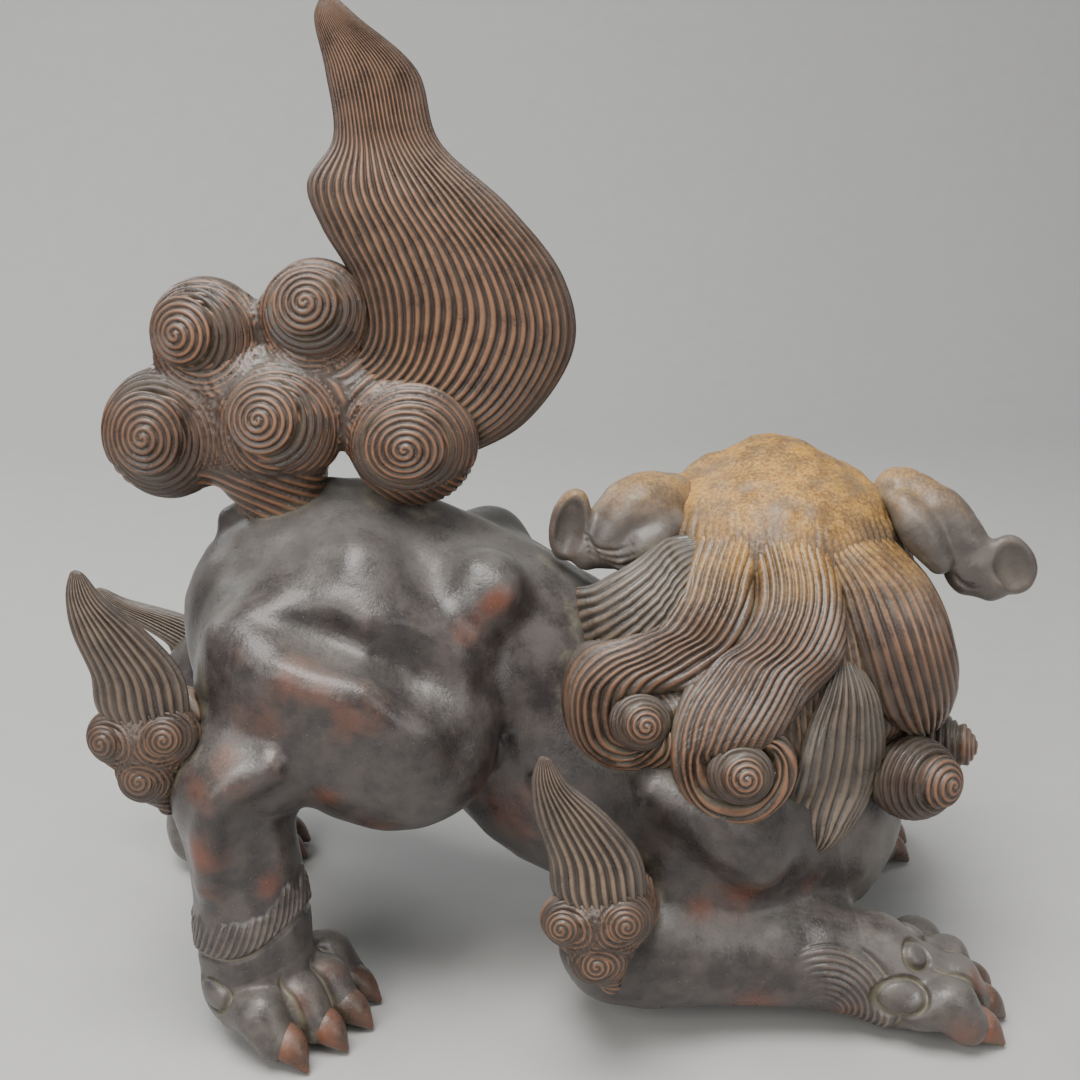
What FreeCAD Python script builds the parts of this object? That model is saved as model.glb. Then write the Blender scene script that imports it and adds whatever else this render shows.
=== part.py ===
"""Foo dog statue of unglazed stoneware, crouching with its rump raised and its head turned to its left.

The statue is hollow-built from separately formed pieces of clay, luted together before firing: two
press-moulded torso halves, a hollow head, legs, paws, claws, ears, carved hair locks, rolled curls and
a tail plume. Each piece is a solid of its own. Where two pieces meet, the later one is carved to sit on
the earlier one, so that they touch face to face and never share volume.

Frame: +X is the way the body points, +Y the way the face looks, +Z up. The ground is Z = 0 and the
origin is in the middle of the statue's length and depth. The side at -Y is the animal's right.
Millimetres.
"""

import os

import FreeCAD
import Part
from FreeCAD import Placement, Rotation, Vector

# Driving sizes in millimetres. For a rounded mass: long is its half size along its own X axis, wide
# its half size along Y and tall its half size along Z. For a lock: wide and thick are half sizes.
SIZES = {
    # Torso
    "wall": 7.0,
    "vent_radius": 9.0,
    "trunk_girth": 48.0,
    "thigh_long": 47.0,
    "thigh_wide": 30.0,
    "thigh_tall": 39.0,
    "knee_long": 27.0,
    "knee_wide": 19.0,
    "knee_tall": 22.0,
    "shoulder_long": 38.0,
    "shoulder_wide": 28.0,
    "shoulder_tall": 38.0,
    # Legs
    "hock_radius": 20.0,
    "shank_radius": 18.5,
    "elbow_radius": 22.0,
    "forearm_radius": 17.5,
    "wrist_radius": 16.5,
    "paw_long": 21.0,
    "paw_wide": 21.0,
    "paw_tall": 17.0,
    "toe_long": 12.5,
    "toe_wide": 7.5,
    "toe_tall": 10.5,
    "toe_gap": 10.5,
    "claw_radius": 4.8,
    "claw_length": 10.0,
    # Leg tufts and their curls
    "tuft_wide": 13.0,
    "tuft_thick": 6.5,
    "tuft_curl": 8.5,
    # Head
    "skull_long": 39.0,
    "skull_wide": 42.0,
    "skull_tall": 31.0,
    "snout_long": 26.0,
    "snout_wide": 30.0,
    "snout_tall": 19.0,
    "jaw_long": 21.0,
    "jaw_wide": 30.0,
    "jaw_tall": 10.0,
    "tongue_long": 11.0,
    "tongue_wide": 20.0,
    "tongue_tall": 4.5,
    "nose_long": 13.0,
    "nose_wide": 9.0,
    "nose_tall": 8.5,
    "eye_radius": 9.5,
    "brow_long": 16.0,
    "brow_wide": 11.0,
    "brow_tall": 8.0,
    "fang_radius": 3.2,
    "fang_length": 9.0,
    # Ears
    "ear_wide": 13.0,
    "ear_thick": 9.0,
    # Mane
    "cape_long": 61.0,
    "cape_wide": 46.0,
    "cape_tall": 50.0,
    "lock_wide": 17.0,
    "lock_thick": 8.0,
    "fan_wide": 13.0,
    "nape_wide": 13.0,
    "mane_curl": 16.0,
    "beard_wide": 12.0,
    # Tail
    "plume_wide": 38.0,
    "plume_thick": 13.0,
    "tail_root_radius": 16.0,
    "tail_core_long": 44.0,
    "tail_core_wide": 12.0,
    "tail_core_tall": 30.0,
    "tail_curl": 20.0,
}

# The middle of the statue's outer box on the ground, in the coordinates used below.
MIDDLE = Vector(-4.0, 0.0, 0.0)

# A shared volume in cubic millimetres that is too small to carve away.
SLIVER = 3.0
# How a cutting shape is moved and turned (in degrees) where the plain cut of two curved faces fails.
NUDGES = (
    ((0, 0, 0), 0),
    ((0.05, 0.04, 0.06), 0),
    ((-0.1, 0.1, -0.1), 0.1),
    ((0.15, 0.1, -0.1), -0.15),
    ((-0.3, 0.2, 0.25), 0.2),
    ((0.4, -0.4, 0.3), -0.25),
    ((-0.5, -0.5, -0.4), 0.3),
)

DOC = FreeCAD.newDocument("foo_dog")
SHEET = DOC.addObject("Spreadsheet::Sheet", "sizes")
NODES = []
HOSTS = []
SIDES = {"right": -1.0, "left": 1.0}


# ---------------------------------------------------------------- building blocks


def fill_sheet():
    """Write each driving size to a cell of its own, with its name as the cell's alias."""
    for row, (alias, value) in enumerate(SIZES.items(), start=1):
        SHEET.set(f"A{row}", alias)
        SHEET.set(f"B{row}", str(value))
        SHEET.setAlias(f"B{row}", alias)
    DOC.recompute()


def bind(item, **expressions):
    """Bind properties of an object to expressions, in which $ stands before each alias of the sheet."""
    for prop, expression in expressions.items():
        item.setExpression(prop, expression.replace("$", "sizes."))
    return item


def spot(place, rotation=Rotation()):
    """A placement at a point, with the origin moved to the middle of the statue."""
    return Placement(Vector(*place) - MIDDLE, rotation)


def tilt(turn, about=(0, 1, 0)):
    """A rotation by an angle in degrees about an axis."""
    return Rotation(Vector(*about), turn)


def mass(name, size, place, rotation=Rotation(), grow="0", lying=False):
    """A rounded mass whose half sizes are the cells size_long, size_wide and size_tall, plus grow.

    lying puts the poles of its surface on its Y axis, for masses that stand half out of the trunk's side.
    """
    item = DOC.addObject("Part::Ellipsoid", name)
    if lying:
        item.Placement = spot(place, rotation.multiply(tilt(-90, (1, 0, 0))))
        return bind(item, Radius1=f"${size}_wide", Radius2=f"${size}_long", Radius3=f"${size}_tall")
    item.Placement = spot(place, rotation)
    return bind(
        item,
        Radius1=f"${size}_tall + ({grow})",
        Radius2=f"${size}_long + ({grow})",
        Radius3=f"${size}_wide + ({grow})",
    )


def ball(name, radius, place, squash=1.0):
    """A ball of a radius given by an expression, flattened along Y by squash."""
    item = DOC.addObject("Part::Ellipsoid", name)
    item.Placement = spot(place)
    return bind(item, Radius1=radius, Radius2=radius, Radius3=f"({radius}) * {squash}")


def cone(name, radius, length, place, along, tip=0.12):
    """A tapering spike that starts at a point and runs along a direction."""
    item = DOC.addObject("Part::Cone", name)
    item.Placement = spot(place, Rotation(Vector(0, 0, 1), Vector(*along)))
    return bind(item, Radius1=radius, Radius2=f"({radius}) * {tip}", Height=length)


def loft(name, rings):
    """A solid lofted through closed rings."""
    item = DOC.addObject("Part::Loft", name)
    item.Sections = rings
    item.Solid = True
    item.Ruled = False
    return item


def lock(name, wide, thick, stations, face=(0, -1, 0)):
    """A lens-shaped lock of hair, lofted through ellipses.

    Each station is (one edge, other edge, share of the full thickness), and face is the direction in
    which the broad side looks. The widest station's half width is the cell named by wide.
    """
    halves = [(Vector(*right) - Vector(*left)).Length / 2 for left, right, _ in stations]
    rings = []
    for number, ((left, right, share), half) in enumerate(zip(stations, halves)):
        across = (Vector(*right) - Vector(*left)).normalize()
        out = Vector(*face) - across * Vector(*face).dot(across)
        middle = (Vector(*left) + Vector(*right)) / 2
        ring = DOC.addObject("Part::Ellipse", f"{name}_ring_{number}")
        ring.Placement = spot(middle, Rotation(across, out, across.cross(out), "XZY"))
        thin = min(share, 0.9 * half / SIZES[thick])
        bind(
            ring,
            MajorRadius=f"${wide} * {half / max(halves):.3f}",
            MinorRadius=f"${thick} * {thin:.3f}",
        )
        rings.append(ring)
    return loft(name, rings)


def limb(name, stations):
    """A round limb lofted through circles, each given as (middle, radius expression, direction)."""
    rings = []
    for number, (place, radius, along) in enumerate(stations):
        ring = DOC.addObject("Part::Circle", f"{name}_ring_{number}")
        ring.Placement = spot(place, Rotation(Vector(0, 0, 1), Vector(*along)))
        rings.append(bind(ring, Radius=radius))
    return loft(name, rings)


def fuse(name, *pieces):
    """One solid from several that overlap."""
    item = DOC.addObject("Part::MultiFuse", name)
    item.Shapes = list(pieces)
    return item


def cut(name, base, tool):
    """The base with the volume of the tool taken away."""
    item = DOC.addObject("Part::Cut", name)
    item.Base = base
    item.Tool = tool
    return item


def meets(one, other):
    """Whether two recomputed objects share more than a sliver of volume."""
    if not one.Shape.BoundBox.intersect(other.Shape.BoundBox):
        return False
    return one.Shape.common(other.Shape).Volume > SLIVER


def mesh_volume(shape):
    """The volume inside a shape's own triangles."""
    points, facets = shape.tessellate(0.3)
    return sum(points[a].dot(points[b].cross(points[c])) for a, b, c in facets) / 6


def sound(item, most):
    """Whether a recomputed cut is a valid solid, smaller than most, whose mesh follows its faces."""
    shape = item.Shape
    if shape.isNull() or not shape.isValid() or not 0 < shape.Volume < most:
        return False
    return abs(mesh_volume(shape) / shape.Volume - 1) < 0.02


def carve(name, part, host):
    """The part cut by its host, or by the host nudged a hair where their faces meet too evenly."""
    for number, (offset, turn) in enumerate(NUDGES):
        tool = host
        if number:
            tool = DOC.addObject("Part::Compound", f"{name}_tool_{number}")
            tool.Links = [host]
            tool.Placement = Placement(Vector(*offset), tilt(turn, (1, 2, 3)))
        item = cut(f"{name}_{number}", part, tool)
        DOC.recompute()
        if sound(item, part.Shape.Volume):
            return item
        DOC.removeObject(item.Name)
    raise RuntimeError(f"{name}: can't be carved")


def seat(label, piece, hollow=None):
    """Make a piece a sub-part, carved to sit on every piece already in place.

    hollow, where given, is taken out of the sub-part but not out of what later pieces sit on.
    """
    DOC.recompute()
    part = piece
    for host in HOSTS:
        if meets(part, host):
            part = carve(f"{label}_on_{host.Name}", part, host)
    HOSTS.append(piece)
    if hollow:
        part = cut(f"{label}_hollowed", part, hollow)
    part.Label = label
    NODES.append(part)


# ---------------------------------------------------------------- torso


# The trunk's cross-sections from rump to chest: where its middle line runs (X and Z), how steeply it
# runs there in degrees, and the section's half width and half height as shares of trunk_girth.
TRUNK = (
    (-119, 118, 0, 0.29, 0.30),
    (-111, 119, 0, 0.61, 0.62),
    (-94, 121, 0, 0.86, 0.87),
    (-66, 122, -3, 0.95, 0.97),
    (-34, 120, -14, 0.89, 0.91),
    (-6, 107, -34, 0.90, 0.92),
    (18, 84, -42, 0.97, 0.98),
    (44, 66, -26, 0.97, 0.98),
    (72, 56, -8, 0.97, 0.98),
    (99, 54, 0, 0.85, 0.86),
    (118, 53, 0, 0.57, 0.58),
    (127, 53, 0, 0.28, 0.29),
)


def trunk(name, stations, inset="0"):
    """The trunk lofted through its cross-sections, drawn in all round by the expression inset."""
    rings = []
    for number, (x, z, slope, wide, tall) in enumerate(stations):
        along = tilt(-slope).multVec(Vector(1, 0, 0))
        side = Vector(0, 1, 0)
        ring = DOC.addObject("Part::Ellipse", f"{name}_ring_{number}")
        ring.Placement = spot((x, 0, z), Rotation(along.cross(side), side, along, "YZX"))
        bind(
            ring,
            MajorRadius=f"$trunk_girth * {tall} - ({inset})",
            MinorRadius=f"$trunk_girth * {wide} - ({inset})",
        )
        rings.append(ring)
    return loft(name, rings)


def make_torso():
    """Two hollow halves that meet on the animal's middle plane, with a vent hole under the chest."""
    outer = trunk("trunk_outer", TRUNK)
    cavity = trunk("trunk_cavity", TRUNK[1:-1], "$wall")
    vent = DOC.addObject("Part::Cylinder", "vent")
    vent.Placement = spot((60, 0, -5))
    bind(vent, Radius="$vent_radius", Height="$trunk_girth * 1.2")
    shell = cut("shell_vented", cut("shell", outer, cavity), vent)
    for side, sign in SIDES.items():
        half_space = DOC.addObject("Part::Box", f"half_space_{side}")
        half_space.Length, half_space.Width, half_space.Height = 400, 200, 300
        half_space.Placement = spot((-200, min(0, sign * 200), -50))
        half = DOC.addObject("Part::MultiCommon", f"torso_half_{side}")
        half.Shapes = [shell, half_space]
        half.Label = f"torso_{side}"
        NODES.append(half)
    HOSTS.append(outer)


def make_muscles():
    """The haunches, each a thigh and a knee, and the shoulders, built up on the trunk."""
    hips = {"right": (-63, -40, 112), "left": (-84, 40, 107)}
    knees = {"right": (-42, -49, 91), "left": (-64, 48, 86)}
    for side, sign in SIDES.items():
        thigh = mass(f"thigh_{side}", "thigh", hips[side], tilt(12), lying=True)
        knee = mass(f"knee_{side}", "knee", knees[side], tilt(-12), lying=True)
        seat(f"haunch_{side}", fuse(f"haunch_whole_{side}", thigh, knee))
        shoulder = mass(f"shoulder_whole_{side}", "shoulder", (52, 38 * sign, 70), lying=True)
        seat(f"shoulder_{side}", shoulder)


# ---------------------------------------------------------------- legs

# For a hind leg the hock, ankle and paw, for a fore leg the elbow, wrist and paw, and the paw's heading.
HIND = {
    "right": {"hock": (-98, -53, 84), "ankle": (-93, -54, 38), "paw": (-89, -53, 15), "heading": -15},
    "left": {"hock": (-126, 53, 76), "ankle": (-129, 54, 38), "paw": (-127, 54, 15), "heading": 8},
}
FORE = {
    "right": {"elbow": (28, -54, 30), "wrist": (103, -52, 22), "paw": (120, -51, 15), "heading": 6},
    "left": {"elbow": (28, 54, 30), "wrist": (98, 60, 22), "paw": (115, 63, 15), "heading": 14},
}
# The hind tufts: where each springs from, how far its tip leans along X, and its rise.
HOCK_TUFTS = {"right": ((-123, -60, 113), -12, 1.0), "left": ((-132, 60, 84), -30, 0.62)}
# Each toe's step sideways in toe gaps and its reach ahead of the paw's middle.
TOES = ((-1.5, 7), (-0.5, 13), (0.5, 14), (1.5, 9))


def make_paw(pair, side, place, heading):
    """A paw of one pad and four toes, and its claws, each seated in the end of its toe."""
    facing = tilt(heading, (0, 0, 1))

    def ahead(forward, sideways, height):
        """The point that lies so far ahead of and to the left of the paw's middle."""
        offset = facing.multVec(Vector(forward, sideways, 0))
        return (place[0] + offset.x, place[1] + offset.y, height)

    pad = mass(f"{pair}_pad_{side}", "paw", place, facing)
    toes, claws = [], []
    for number, (step, reach) in enumerate(TOES):
        fan = tilt(heading + 9 * step, (0, 0, 1))
        aside = step * SIZES["toe_gap"]
        toes.append(mass(f"{pair}_toe_{side}_{number}", "toe", ahead(reach, aside, SIZES["toe_tall"]), fan))
        root = ahead(reach + 7, aside * 1.12, 8)
        point = fan.multVec(Vector(1, 0, -0.45))
        claws.append(cone(f"{pair}_claw_{side}_{number}", "$claw_radius", "$claw_length", root, point))
    seat(f"{pair}_paw_{side}", fuse(f"{pair}_paw_whole_{side}", pad, *toes))
    seat(f"{pair}_claws_{side}", fuse(f"{pair}_claws_whole_{side}", *claws))


def make_tuft(name, side, base, lean, rise=1.0):
    """A flame-shaped tuft over a cluster of three curls. lean slants the flame along X."""
    sign = SIDES[side]
    x, y, z = base
    stations = [
        ((x - 11 - 0.3 * lean, y, z - 2), (x + 11 - 0.3 * lean, y, z), 0.9),
        ((x - 13, y - sign, z + 13 * rise), (x + 13, y - sign, z + 14 * rise), 1.0),
        ((x - 11 + 0.5 * lean, y, z + 27 * rise), (x + 10 + 0.5 * lean, y, z + 26 * rise), 0.8),
        ((x - 6 + lean, y, z + 38 * rise), (x + 5 + lean, y, z + 36 * rise), 0.55),
        ((x - 2 + 1.2 * lean, y, z + 45 * rise), (x + 2 + 1.2 * lean, y, z + 44 * rise), 0.25),
    ]
    seat(f"{name}_tuft_{side}", lock(f"{name}_flame_{side}", "tuft_wide", "tuft_thick", stations, (0, sign, 0)))
    curls = (
        ball(f"{name}_curl_rear_{side}", "$tuft_curl", (x - 8, y + sign, z - 7), 0.85),
        ball(f"{name}_curl_front_{side}", "$tuft_curl * 1.1", (x + 9, y + 2.5 * sign, z - 6), 0.85),
        ball(f"{name}_curl_low_{side}", "$tuft_curl", (x + 3, y + 1.7 * sign, z - 21), 0.85),
    )
    seat(f"{name}_curls_{side}", fuse(f"{name}_curls_whole_{side}", *curls))


def make_hind_leg(side):
    """The lower leg from the hock to the ankle, with its paw, claws, tuft and curls."""
    here = HIND[side]
    hock, ankle = Vector(*here["hock"]), Vector(*here["ankle"])
    stations = [
        (hock + Vector(2, 0, 12), "$hock_radius * 0.72", (0.1, 0, -1)),
        (hock, "$hock_radius", (0.1, 0, -1)),
        ((hock + ankle) / 2, "$shank_radius", (0.15, 0, -1)),
        (ankle, "$shank_radius", (0.1, 0, -1)),
        (ankle + Vector(1, 0, -14), "$shank_radius * 0.9", (0, 0, -1)),
    ]
    seat(f"hind_leg_{side}", limb(f"hind_column_{side}", stations))
    make_paw("hind", side, here["paw"], here["heading"])
    make_tuft("hock", side, *HOCK_TUFTS[side])


def make_fore_leg(side):
    """The forearm that lies along the ground, with its paw, claws, tuft and curls."""
    here, sign = FORE[side], SIDES[side]
    elbow, wrist = Vector(*here["elbow"]), Vector(*here["wrist"])
    along = wrist - elbow
    stations = [
        (elbow - along * 0.10, "$elbow_radius * 0.72", along),
        (elbow + along * 0.08, "$elbow_radius", along),
        (elbow + along * 0.45, "$forearm_radius", along),
        (elbow + along * 0.85, "$wrist_radius", along),
        (wrist + along * 0.06, "$wrist_radius * 0.9", along),
    ]
    seat(f"fore_leg_{side}", limb(f"forearm_{side}", stations))
    make_paw("fore", side, here["paw"], here["heading"])
    make_tuft("elbow", side, (elbow.x - 12, elbow.y + 28 * sign, elbow.z + 33), -12)


# ---------------------------------------------------------------- head

FACE_X = 84.0


def make_head():
    """The hollow head and the pieces of its face, which looks along +Y. Its right side is at +X."""
    skull = mass("skull", "skull", (FACE_X, 10, 152))
    snout = mass("snout", "snout", (FACE_X, 55, 141), tilt(6, (1, 0, 0)))
    cavity = mass("skull_cavity", "skull", (FACE_X, 10, 152), grow="-$wall")
    seat("head", fuse("head_whole", skull, snout), cavity)
    seat("lower_jaw", mass("jaw", "jaw", (FACE_X, 46, 110), tilt(-12, (1, 0, 0))))
    seat("tongue", mass("tongue_whole", "tongue", (FACE_X, 52, 118.5), tilt(-8, (1, 0, 0))))
    upper, lower = [], []
    for number, aside in enumerate((-15, 15)):
        upper.append(cone(f"upper_fang_{number}", "$fang_radius", "$fang_length", (FACE_X + aside, 69, 131), (0, 0, -1)))
        lower.append(cone(f"lower_fang_{number}", "$fang_radius", "$fang_length", (FACE_X + aside * 0.75, 64, 110), (0, 0, 1)))
    seat("upper_fangs", fuse("upper_fangs_whole", *upper))
    seat("lower_fangs", fuse("lower_fangs_whole", *lower))
    seat("nose", mass("nose_whole", "nose", (FACE_X, 81, 151)))
    for side, sign in SIDES.items():
        aside = FACE_X - sign * 17
        seat(f"eye_{side}", ball(f"eyeball_{side}", "$eye_radius", (aside, 43, 159)))
        seat(f"brow_{side}", mass(f"brow_whole_{side}", "brow", (FACE_X - sign * 23, 38, 169), tilt(sign * -14)))


def make_ears():
    """Two drooping ears that flare and turn up at the tip."""
    leaves = {
        "left": [
            ((50, 4, 178), (50, 4, 155), 1.0),
            ((32, -1, 171), (32, -1, 148), 1.0),
            ((18, -5, 164), (19, -5, 143), 0.9),
            ((7, -8, 172), (10, -8, 147), 0.7),
        ],
        "right": [
            ((118, 4, 180), (118, 4, 156), 1.0),
            ((136, -1, 168), (133, -1, 143), 1.0),
            ((150, -5, 158), (148, -5, 134), 0.9),
            ((163, -8, 160), (158, -8, 135), 0.7),
        ],
    }
    for side, stations in leaves.items():
        seat(f"ear_{side}", lock(f"ear_leaf_{side}", "ear_wide", "ear_thick", stations))


# ---------------------------------------------------------------- mane


def make_mane():
    """The hollow neck under the mane, its combed locks, its curls, the cheek locks and the beard."""
    neck = mass("neck_whole", "cape", (78, -5, 112))
    seat("neck", neck, mass("neck_cavity", "cape", (78, -5, 112), grow="-$wall * 1.4"))
    locks = {
        "mane_lock_fan": ("fan_wide", [
            ((42, -18, 162), (56, -18, 160), 0.6),
            ((32, -26, 150), (52, -28, 142), 1.0),
            ((19, -30, 141), (40, -36, 124), 0.8),
        ]),
        "mane_lock_rear": ("lock_wide", [
            ((47, -20, 164), (69, -20, 165), 0.5),
            ((42, -34, 146), (71, -36, 142), 1.0),
            ((28, -42, 131), (63, -46, 127), 1.0),
            ((14, -46, 122), (47, -50, 114), 0.8),
        ]),
        "mane_lock_middle": ("lock_wide", [
            ((71, -20, 166), (93, -20, 162), 0.5),
            ((72, -37, 146), (98, -37, 142), 1.0),
            ((66, -46, 132), (95, -46, 126), 1.0),
            ((47, -52, 118), (77, -52, 107), 0.8),
        ]),
        "mane_lock_front": ("lock_wide", [
            ((95, -21, 162), (118, -17, 158), 0.55),
            ((101, -38, 139), (130, -30, 136), 1.0),
            ((108, -43, 117), (137, -30, 115), 1.0),
            ((117, -41, 95), (139, -30, 93), 0.8),
        ]),
        "nape_lock": ("nape_wide", [
            ((90, -50, 116), (100, -50, 116), 0.5),
            ((80, -52, 96), (106, -50, 96), 0.9),
            ((77, -56, 80), (102, -54, 79), 0.9),
            ((84, -58, 64), (90, -58, 64), 0.4),
        ]),
    }
    for name, (wide, stations) in locks.items():
        seat(name, lock(f"{name}_whole", wide, "lock_thick", stations))
    curls = {
        "mane_curl_rear": (0.95, (30, -50, 106)),
        "mane_curl_middle": (1.0, (62, -58, 92)),
        "mane_curl_front": (0.9, (124, -38, 79)),
        "mane_curl_chest": (0.8, (139, -4, 77)),
    }
    for name, (share, place) in curls.items():
        seat(name, ball(f"{name}_whole", f"$mane_curl * {share}", place, 0.85))
    for side, sign in SIDES.items():
        out = -sign
        stations = [
            ((FACE_X + 32 * out, 32, 152), (FACE_X + 35 * out, 8, 152), 0.6),
            ((FACE_X + 37 * out, 44, 132), (FACE_X + 43 * out, 12, 132), 1.0),
            ((FACE_X + 38 * out, 56, 116), (FACE_X + 46 * out, 24, 114), 0.9),
        ]
        seat(f"cheek_lock_{side}", lock(f"cheek_lock_whole_{side}", "lock_wide", "lock_thick", stations, (out, 0, 0)))
        seat(f"cheek_curl_{side}", ball(f"cheek_curl_whole_{side}", "$mane_curl", (FACE_X + 41 * out, 50, 104)))
    stations = [
        ((FACE_X - 12, 44, 106), (FACE_X + 12, 44, 106), 0.8),
        ((FACE_X - 12, 56, 92), (FACE_X + 12, 56, 92), 1.0),
        ((FACE_X - 8, 60, 78), (FACE_X + 8, 60, 78), 0.8),
        ((FACE_X - 2, 58, 66), (FACE_X + 2, 58, 66), 0.3),
    ]
    seat("beard", lock("beard_whole", "beard_wide", "lock_thick", stations, (0, 1, 0)))


# ---------------------------------------------------------------- tail


def make_tail():
    """The tail's root, its core, its five rolled curls and its flame-shaped plume."""
    stations = [
        ((-80, 0, 148), "$tail_root_radius", (-0.2, 0, 1)),
        ((-84, 0, 168), "$tail_root_radius", (-0.2, 0, 1)),
        ((-88, 0, 190), "$tail_root_radius * 1.2", (-0.2, 0, 1)),
    ]
    root = limb("tail_stem", stations)
    core = mass("tail_core", "tail_core", (-81, 1, 203), tilt(-8))
    seat("tail_root", fuse("tail_root_whole", root, core))
    curls = {
        "tail_curl_rear_low": (1.0, (-122, -2, 187)),
        "tail_curl_rear_high": (0.88, (-109, 2, 220)),
        "tail_curl_middle": (0.97, (-82, -8, 194)),
        "tail_curl_high": (0.8, (-72, 0, 228)),
        "tail_curl_front": (1.03, (-42, -8, 187)),
    }
    for name, (share, place) in curls.items():
        seat(name, ball(f"{name}_whole", f"$tail_curl * {share}", place, 0.85))
    stations = [
        ((-50, 2, 203), (-24, 2, 181), 0.8),
        ((-56, 2, 222), (-3, 2, 192), 0.95),
        ((-62, 2, 240), (10, 2, 214), 1.0),
        ((-69, 3, 254), (7, 3, 237), 1.0),
        ((-73, 4, 267), (-10, 4, 259), 0.85),
        ((-65, 8, 281), (-32, 8, 279), 0.65),
        ((-67, 10, 301), (-39, 10, 301), 0.5),
        ((-70, 10, 316), (-57, 10, 317), 0.35),
        ((-67, 10, 324), (-63, 10, 324), 0.12),
    ]
    seat("tail_plume", lock("plume", "plume_wide", "plume_thick", stations))


# ---------------------------------------------------------------- build and write


def write_parts():
    """Check every object, then write each sub-part to a STEP file named after its label."""
    DOC.recompute()
    for item in DOC.Objects:
        if "Invalid" in item.State or "Error" in item.State:
            raise RuntimeError(f"{item.Label}: {item.State}")
    os.makedirs("parts", exist_ok=True)
    for part in NODES:
        if part.Shape.isNull() or not part.Shape.isValid():
            raise RuntimeError(f"{part.Label}: no valid shape")
        part.Shape.exportStep(f"parts/{part.Label}.step")
        print(part.Label, len(part.Shape.Solids), round(part.Shape.Volume))


def lay_ground():
    """The ground, which every piece that reaches down to it is flattened against."""
    ground = DOC.addObject("Part::Box", "ground")
    ground.Length, ground.Width, ground.Height = 600, 600, 60
    ground.Placement = spot((-300, -300, -60))
    HOSTS.append(ground)


fill_sheet()
lay_ground()
make_torso()
make_muscles()
for leg_side in SIDES:
    make_hind_leg(leg_side)
    make_fore_leg(leg_side)
make_head()
make_ears()
make_mane()
make_tail()
write_parts()
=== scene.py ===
"""The look of the foo dog statue: wood-fired, unglazed stoneware with combed hair and rolled curls.

Shapes are worked out in millimetres in the frame of part.py (+X is the way the body points, +Y the way
the face looks, +Z up) and moved to the row frame in metres when the meshes are made.
"""

import math
from functools import partial

import bpy
import numpy as np
import openvdb as vdb
from mathutils import Euler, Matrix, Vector


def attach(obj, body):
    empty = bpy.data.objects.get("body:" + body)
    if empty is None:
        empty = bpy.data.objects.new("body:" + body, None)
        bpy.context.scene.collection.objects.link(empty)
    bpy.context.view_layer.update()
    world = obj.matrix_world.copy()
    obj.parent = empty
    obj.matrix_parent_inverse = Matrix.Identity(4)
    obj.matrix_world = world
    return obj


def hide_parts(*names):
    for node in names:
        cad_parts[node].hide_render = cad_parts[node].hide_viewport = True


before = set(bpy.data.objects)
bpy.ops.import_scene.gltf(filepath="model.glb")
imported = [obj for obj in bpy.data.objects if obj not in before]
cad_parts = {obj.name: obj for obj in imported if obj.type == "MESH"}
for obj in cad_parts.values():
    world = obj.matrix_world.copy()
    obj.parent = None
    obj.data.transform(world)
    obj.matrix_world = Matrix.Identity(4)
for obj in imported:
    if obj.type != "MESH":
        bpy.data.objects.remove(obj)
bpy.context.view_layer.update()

MIDDLE = np.array([-4.0, 0.0, 0.0])
SIDES = {"right": -1.0, "left": 1.0}
PIECES = []
SMOOTHING_ROUNDS = 24


# ---------------------------------------------------------------- shapes


def smooth_path(points, count):
    """A Catmull-Rom curve through rows of numbers, sampled at evenly spaced parameters."""
    rows = np.array(points, float)
    if len(rows) == 2:
        return rows[0] + (rows[1] - rows[0]) * np.linspace(0, 1, count)[:, None]
    padded = np.vstack([2 * rows[0] - rows[1], rows, 2 * rows[-1] - rows[-2]])
    at = np.linspace(0, len(rows) - 1 - 1e-6, count)
    i = at.astype(int)
    t = (at - i)[:, None]
    a, b, c, d = padded[i], padded[i + 1], padded[i + 2], padded[i + 3]
    return 0.5 * (2 * b + (c - a) * t + (2 * a - 5 * b + 4 * c - d) * t**2 + (3 * b - 3 * c + d - a) * t**3)


def ellipsoid_share(p, centre, radii):
    """How far out points are in an ellipsoid, from 0 in its middle to 1 on its surface."""
    return np.sqrt(sum(((p[k] - centre[k]) / radii[k]) ** 2 for k in range(3)))


def ellipsoid_distance(p, centre, radii, turn=None):
    """About how far points are from an ellipsoid's surface."""
    q = [p[k] - centre[k] for k in range(3)]
    if turn:
        m = np.array(Euler([math.radians(a) for a in turn]).to_matrix())
        q = [m[0, k] * q[0] + m[1, k] * q[1] + m[2, k] * q[2] for k in range(3)]
    near = ellipsoid_share(q, (0, 0, 0), radii)
    steep = np.sqrt(sum((q[k] / radii[k] ** 2) ** 2 for k in range(3)))
    return near * (near - 1) / np.maximum(steep, 1e-4)


def bone_distance(p, a, b, ra, rb):
    """How far points are from a rod that runs from a to b and tapers from radius ra to rb."""
    a, b = np.array(a, float), np.array(b, float)
    along = b - a
    t = sum((p[k] - a[k]) * along[k] for k in range(3)) / max(float(along @ along), 1e-6)
    t = np.clip(t, 0, 1)
    away = np.sqrt(sum((p[k] - a[k] - t * along[k]) ** 2 for k in range(3)))
    return away - (ra + t * (rb - ra))


def merged(a, b, blend):
    """The union of two distances, with a fillet."""
    if blend <= 0:
        return np.minimum(a, b)
    h = np.maximum(blend - np.abs(a - b), 0) / blend
    return np.minimum(a, b) - h * h * blend * 0.25


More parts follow.
